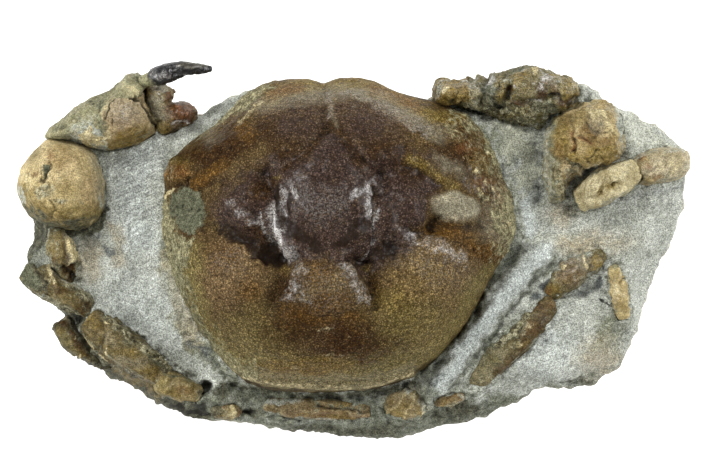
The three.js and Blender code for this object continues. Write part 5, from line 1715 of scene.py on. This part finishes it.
STONE_COLOURS = [
    ("dusk", 0.9, stroke(13, (232, 388), (262, 400), (300, 407), (345, 410), (385, 408), (424, 396),
            soft=0.8, rough=7),
        stroke(9, (84, 352), (110, 376), (150, 400), (214, 416), soft=0.8, rough=6),
        stroke(8, (210, 404), (236, 410), (262, 416), rough=6)),
    ("dusk", 1.0, patch((236, 410), (300, 420), (396, 418), (450, 402), (500, 396), (560, 384),
            (600, 376), (600, 396), (440, 445), (290, 445), soft=8, rough=8)),
    ("dusk", 0.8, patch((20, 210), (66, 214), (100, 214), (92, 232), (60, 250), (44, 262), (20, 262),
            soft=6, rough=6), spot(72, 316, 16, 12, 0, 0.7, 5)),
    ("dusk", 0.75, stroke(6, *RIGHT_TRENCH, soft=0.9, rough=5),
        stroke(3, *RIGHT_GUTTER, soft=0.9, rough=5)),
    # The brown patch along the left rear shaft's lower edge is a painted shadow.
    ("brown", 1.0, patch((84, 340), (96, 350), (112, 362), (134, 374), (160, 384), (162, 399), (150, 399),
            (130, 388), (110, 373), (92, 356), soft=2, rough=2)),
    ("murk", 0.8, spot(74, 316, 12, 7, 0, 0.7, 4),
        stroke(4, (226, 381), (262, 391), (300, 395), (345, 396), (385, 391), (420, 380), rough=4),
        spot(462, 410, 22, 9, 15), stroke(6, (22, 262), (34, 246), (46, 234), rough=3),
        spot(222, 392, 10, 10, 0, 0.7, 4), spot(184, 370, 14, 5, -25, 0.8, 5)),
    ("pale", 0.8,
        patch((478, 118), (530, 124), (540, 150), (526, 200), (514, 176), (500, 140), soft=6, rough=8)),
    ("pale", 0.5, patch((600, 118), (640, 112), (690, 150), (650, 160), (620, 150), soft=8, rough=8),
        spot(560, 236, 30, 10, 0, 0.8, 7)),
    ("green", 0.9,
        stroke(8, (164, 254), (170, 286), (182, 320), (202, 350), (228, 374), soft=0.9, rough=7)),
    ("tan", 0.5, stroke(9, (168, 262), (178, 300), (196, 334), soft=0.9, rough=6), spot(560, 214, 14, 12),
        spot(600, 240, 30, 10, 0, 0.8, 5), spot(90, 268, 12, 14), spot(600, 360, 20, 20, 0, 0.8, 6)),
    ("blue", 0.6, stroke(4, (190, 334), (206, 356), (226, 374), rough=5),
        stroke(5, *REAR_TRENCH, soft=0.9, rough=4), stroke(3, *RIGHT_TRENCH, soft=0.9, rough=5),
        stroke(4.5, (541, 152), (535, 166), (534, 182), (538, 200), rough=3),
        stroke(4, (532, 243), (514, 255), (498, 270), (486, 286), soft=0.9, rough=5),
        spot(432, 382, 15, 7, 35, 0.7, 4), spot(583, 291, 14, 6, 10), spot(480, 404, 18, 5, 15),
        spot(98, 238, 8, 4, 20), spot(102, 208, 5, 6), spot(108, 170, 3, 12)),
    ("green", 0.7, stroke(5, (470, 122), (498, 142), (512, 172), (520, 200), (522, 236), rough=7),
        spot(512, 330, 14, 10, 40, 0.7, 4), spot(608, 330, 18, 24, 0, 0.7, 5), spot(165, 248, 10, 14)),
    ("pale", 0.7, patch((506, 140), (526, 150), (530, 196), (516, 190), soft=5, rough=6)),
    ("green", 0.6, stroke(5, (176, 280), (196, 316), (214, 344), rough=3), spot(190, 224, 5, 12),
        spot(560, 330, 5, 18, 0, 0.8, 5)),
    ("green", 0.5, stroke(9, (524, 322), (494, 352), (460, 394), soft=0.9, rough=5),
        stroke(7, (100, 312), (130, 334), (166, 360), soft=0.9, rough=5)),
    ("tan", 0.6, stroke(5, (112, 226), (120, 245), (118, 262), rough=4), spot(580, 246, 26, 10),
        spot(410, 398, 22, 14), spot(90, 260, 12, 18)),
    ("ochre", 0.6, spot(86, 224, 9, 7), spot(176, 236, 3, 12, 30)),
    ("bright", 1.0, stroke(9, *BRIGHT_RIDGE, soft=0.7),
        stroke(6, (522, 150), (520, 175), (526, 200), (530, 230))),
    # The bright stroke on the ramp left of the shell is painted light on a slope that faces the left lamp.
    ("bright", 0.7, stroke(18, (140, 150), (128, 190), (140, 240), soft=0.9, rough=6)),
    ("bright", 0.5, spot(545, 350, 30, 26, 40, 0.8, 6), spot(140, 310, 36, 40, 20, 0.8, 6)),
    # The three spots beside the right rear joint are painted shade.
    ("blue", 0.9, spot(109, 251, 9, 5, -15), spot(545, 284, 4, 9, -35), spot(537, 296, 7, 5),
        spot(599, 284, 7, 8)),
    # The dark stroke and the blue stroke down the gash right of the shell are painted shade.
    ("dark", 0.25, stroke(3, (540, 154), (535, 166), (535, 182), (538, 196), rough=3)),
    ("dark", 0.5,
        stroke(2.4, (84, 344), (94, 360), (110, 376), (130, 391), (150, 402), (164, 406), rough=2),
        stroke(1, (176, 366), (188, 373), (200, 384)), stroke(1.2, (519, 250), (508, 260), (500, 268)),
        spot(541, 336, 3, 3), spot(76, 317, 8, 3, -20), spot(110, 251, 5, 2, -15),
        spot(151, 289, 1.5, 1.5), stroke(1, (480, 352), (466, 368), (456, 380)), spot(86, 230, 6, 2)),
    # The dark patch at the left edge, beside the front joint, is painted shade; the thin strokes are cracks.
    ("dark", 0.4, patch((24, 212), (44, 214), (50, 230), (44, 250), (34, 262), (20, 262), (20, 236),
            soft=4, rough=5), spot(74, 314, 10, 7, 0, 0.8, 4),
        stroke(1, (498, 280), (482, 302), (470, 326), rough=3),
        stroke(1, (452, 352), (440, 368), (428, 380), rough=3),
        stroke(1, (508, 262), (530, 248), rough=3)),
    # The first blue stroke, under the white and tan legs, is a painted shadow.
    ("blue", 0.5, stroke(4, (602, 206), (640, 194), (684, 186)), spot(545, 344, 30, 3, 30, 0.8, 5),
        spot(455, 350, 4, 16, -40)),
    ("murk", 0.6, patch((252, 424), (300, 431), (396, 428), (402, 444), (300, 444), soft=6, rough=5),
        spot(440, 416, 14, 6), stroke(4, (455, 108), (500, 118), (545, 124), rough=4),
        spot(572, 208, 10, 10), spot(395, 428, 18, 5)),
    ("murk", 1.0, stroke(7, (84, 352), (110, 374), (150, 400), (204, 416), rough=5),
        stroke(4, (56, 312), (64, 322), (76, 330), rough=4)),
    ("murk", 0.5, stroke(2.4, (500, 276), (480, 304), (464, 334), (444, 362), (426, 384), rough=5),
        spot(240, 400, 20, 5, 0, 0.8, 5)),
    ("murk", 0.9, patch((22, 202), (60, 215), (96, 213), (108, 204), (112, 222), (90, 238), (48, 242),
            (28, 214), soft=4, rough=4), stroke(9, (30, 214), (36, 230), (30, 250), rough=5),
        stroke(5, (84, 322), (92, 346), (108, 366), rough=4)),
    ("murk", 0.7, stroke(5, (290, 426), (340, 432), (385, 430)), spot(190, 412, 24, 5, -5),
        spot(252, 412, 12, 5), spot(575, 380, 24, 3)),
    # The spots and the wide stroke by the rear knuckle and knob, and the spot in the hole behind them, are
    # painted shade; the thin strokes are cracks.
    ("dark", 0.7, stroke(1.4, (130, 330), (139, 338), (143, 343)), stroke(0.9, (143, 343), (150, 348)),
        stroke(1, (156, 352), (166, 359)), spot(246, 412, 9, 3), spot(204, 408, 7, 6),
        stroke(3, (170, 406), (190, 411), (206, 410)), stroke(1.2, (546, 295), (556, 302), rough=1)),
    ("dark", 0.9, spot(206, 388, 6, 7, 0, 0.5, 2),
        stroke(1.4, (600, 300), (607, 304), (613, 304), (614, 316), (618, 319), (627, 319), rough=1)),
    # The two spots beside the right rear joint are painted shade.
    ("dark", 0.2, stroke(1.0, (628, 322), (641, 322)), spot(599, 283, 4, 5), spot(546, 282, 3, 5)),
    ("streak", 0.8,
        patch((108, 145), (160, 130), (172, 160), (170, 230), (150, 250), (112, 230), soft=10, rough=5)),
    ("streak", 0.35, patch((170, 260), (190, 330), (240, 380), (110, 330), (110, 250), soft=10),
        patch((520, 120), (690, 120), (640, 380), (480, 400), soft=10)),
]


def stone_detail(points, normals):
    """The stone's marks and its rises, in mm each way."""
    plan, marks = Plan(points, 200), Marks()
    up = smooth(0.0, 0.5, normals[:, 2])
    rise, close = banked(points, up)
    height = rise + marks.draw(plan, STONE_RELIEF, up)
    marks.draw(plan, STONE_COLOURS, np.maximum(up, 0.8))
    marks.add("green", 0.4 * close, 0.45 * (1 - up))
    marks.add("murk", 0.32 * close)
    marks.add("tan", 0.35 * (1 - up))
    rubble = np.clip(marks["murk"] + 0.5 * marks["green"], 0, 1)
    bumps = 0.4 * layered(points, 6.0, 21, 3) + 0.2 * layered(points, 1.8, 25, 3)
    bumps = bumps + rubble * 0.5 * layered(points, 1.5, 27, 3)
    bumps += 0.22 * chips(points, 4.5, 29) * (0.4 + 0.6 * rubble)
    first, second = grains(points, 3.6, 8)
    bumps += (1 - up) * (0.7 * np.clip(second - first, 0, 0.8) + 0.25 * layered(points, 3.0, 33, 3))
    lift = normals * bumps[:, None]
    lift[:, 2] += height
    lift[:, 2] *= smooth(0.0, 3.0, points[:, 2])
    return lift, marks


def stone():
    """The siltstone, which comes last because it banks up against every other piece."""
    dressed("stone", "siltstone", stone_detail, siltstone_paint(), voxel=0.52, melt=6, grow=0,
            base=filled_stone())


# ---- studio --------------------------------------------------------------------------------------
def make_camera():
    """Straight above the crab, at the photograph's frame."""
    data = bpy.data.cameras.new("camera")
    data.sensor_width = SENSOR
    data.lens = SENSOR * (CAMERA_AT[2] - FOCUS_HEIGHT) * PX_PER_MM / PHOTO_SIZE[0]
    data.clip_start, data.clip_end = 0.05, 20
    data.dof.use_dof = False
    camera = placed("camera", data)
    camera.location = Vector(CAMERA_AT) * MM
    bpy.context.scene.camera = camera


# Each light's name, direction from the crab, distance, width and height in m, and power in W.
SOFTBOXES = [
    ("key_softbox", (-0.45, 0.8, 1.0), 0.9, (0.3, 0.2), 4.4),
    ("left_softbox", (-1.0, -0.22, 0.66), 0.9, (0.6, 0.5), 6.2),
    ("right_softbox", (1.0, 0.26, 0.66), 0.9, (0.6, 0.5), 6.6),
    ("rear_softbox", (0.1, -1.0, 0.7), 1.0, (0.5, 0.3), 1.4),
]
WORLD_LIGHT = 0.12
FLOOR_REACH = 3.0
FLOOR_GLOW = 0.6


def make_softbox(name, direction, distance, size, power):
    """An area light that looks at the object from that direction."""
    data = bpy.data.lights.new(name, "AREA")
    data.shape, data.size, data.size_y = "RECTANGLE", size[0], size[1]
    data.energy = power
    light = placed(name, data)
    towards = Vector(direction).normalized()
    light.location = towards * distance + Vector((0, 0, FOCUS_HEIGHT * MM))
    light.rotation_euler = towards.to_track_quat("Z", "Y").to_euler()


def make_studio():
    """Soft light from four sides and a little from everywhere."""
    for softbox in SOFTBOXES:
        make_softbox(*softbox)
    world = bpy.data.worlds.new("studio")
    world.use_nodes = True
    world.node_tree.nodes["Background"].inputs["Color"].default_value = (1, 1, 1, 1)
    world.node_tree.nodes["Background"].inputs["Strength"].default_value = WORLD_LIGHT
    bpy.context.scene.world = world
    bpy.context.scene.view_settings.view_transform = "Standard"


def make_floor():
    """A plain pale table top under the stone."""
    mesh = bpy.data.meshes.new("floor")
    corners = [(x * FLOOR_REACH, y * FLOOR_REACH, 0) for x, y in ((-1, -1), (1, -1), (1, 1), (-1, 1))]
    mesh.from_pydata(corners, [], [(0, 1, 2, 3)])
    material = bpy.data.materials.new("floor_paint")
    material.use_nodes = True
    shader = material.node_tree.nodes["Principled BSDF"]
    shader.inputs["Base Color"].default_value = (0.9, 0.9, 0.9, 1)
    shader.inputs["Roughness"].default_value = 0.9
    shader.inputs["Emission Color"].default_value = (1, 1, 1, 1)
    shader.inputs["Emission Strength"].default_value = FLOOR_GLOW
    mesh.materials.append(material)
    placed("floor", mesh)


make_camera()
make_studio()
make_floor()
PIECES = [
    carapace, left_wrist, left_palm, left_fixed_finger, left_moving_finger, left_leg_front_joint,
    left_leg_front_shaft, left_leg_rear_shaft, left_leg_rear_joint, left_leg_edge_plate, hind_knob,
    hind_left_shaft, hind_right_knuckle, right_leg_rear_strip, right_leg_rear_shaft, right_leg_rear_joint,
    right_leg_tip, right_wrist, right_claw, right_leg_white, right_leg_tan, stone]
for build in PIECES:
    build()
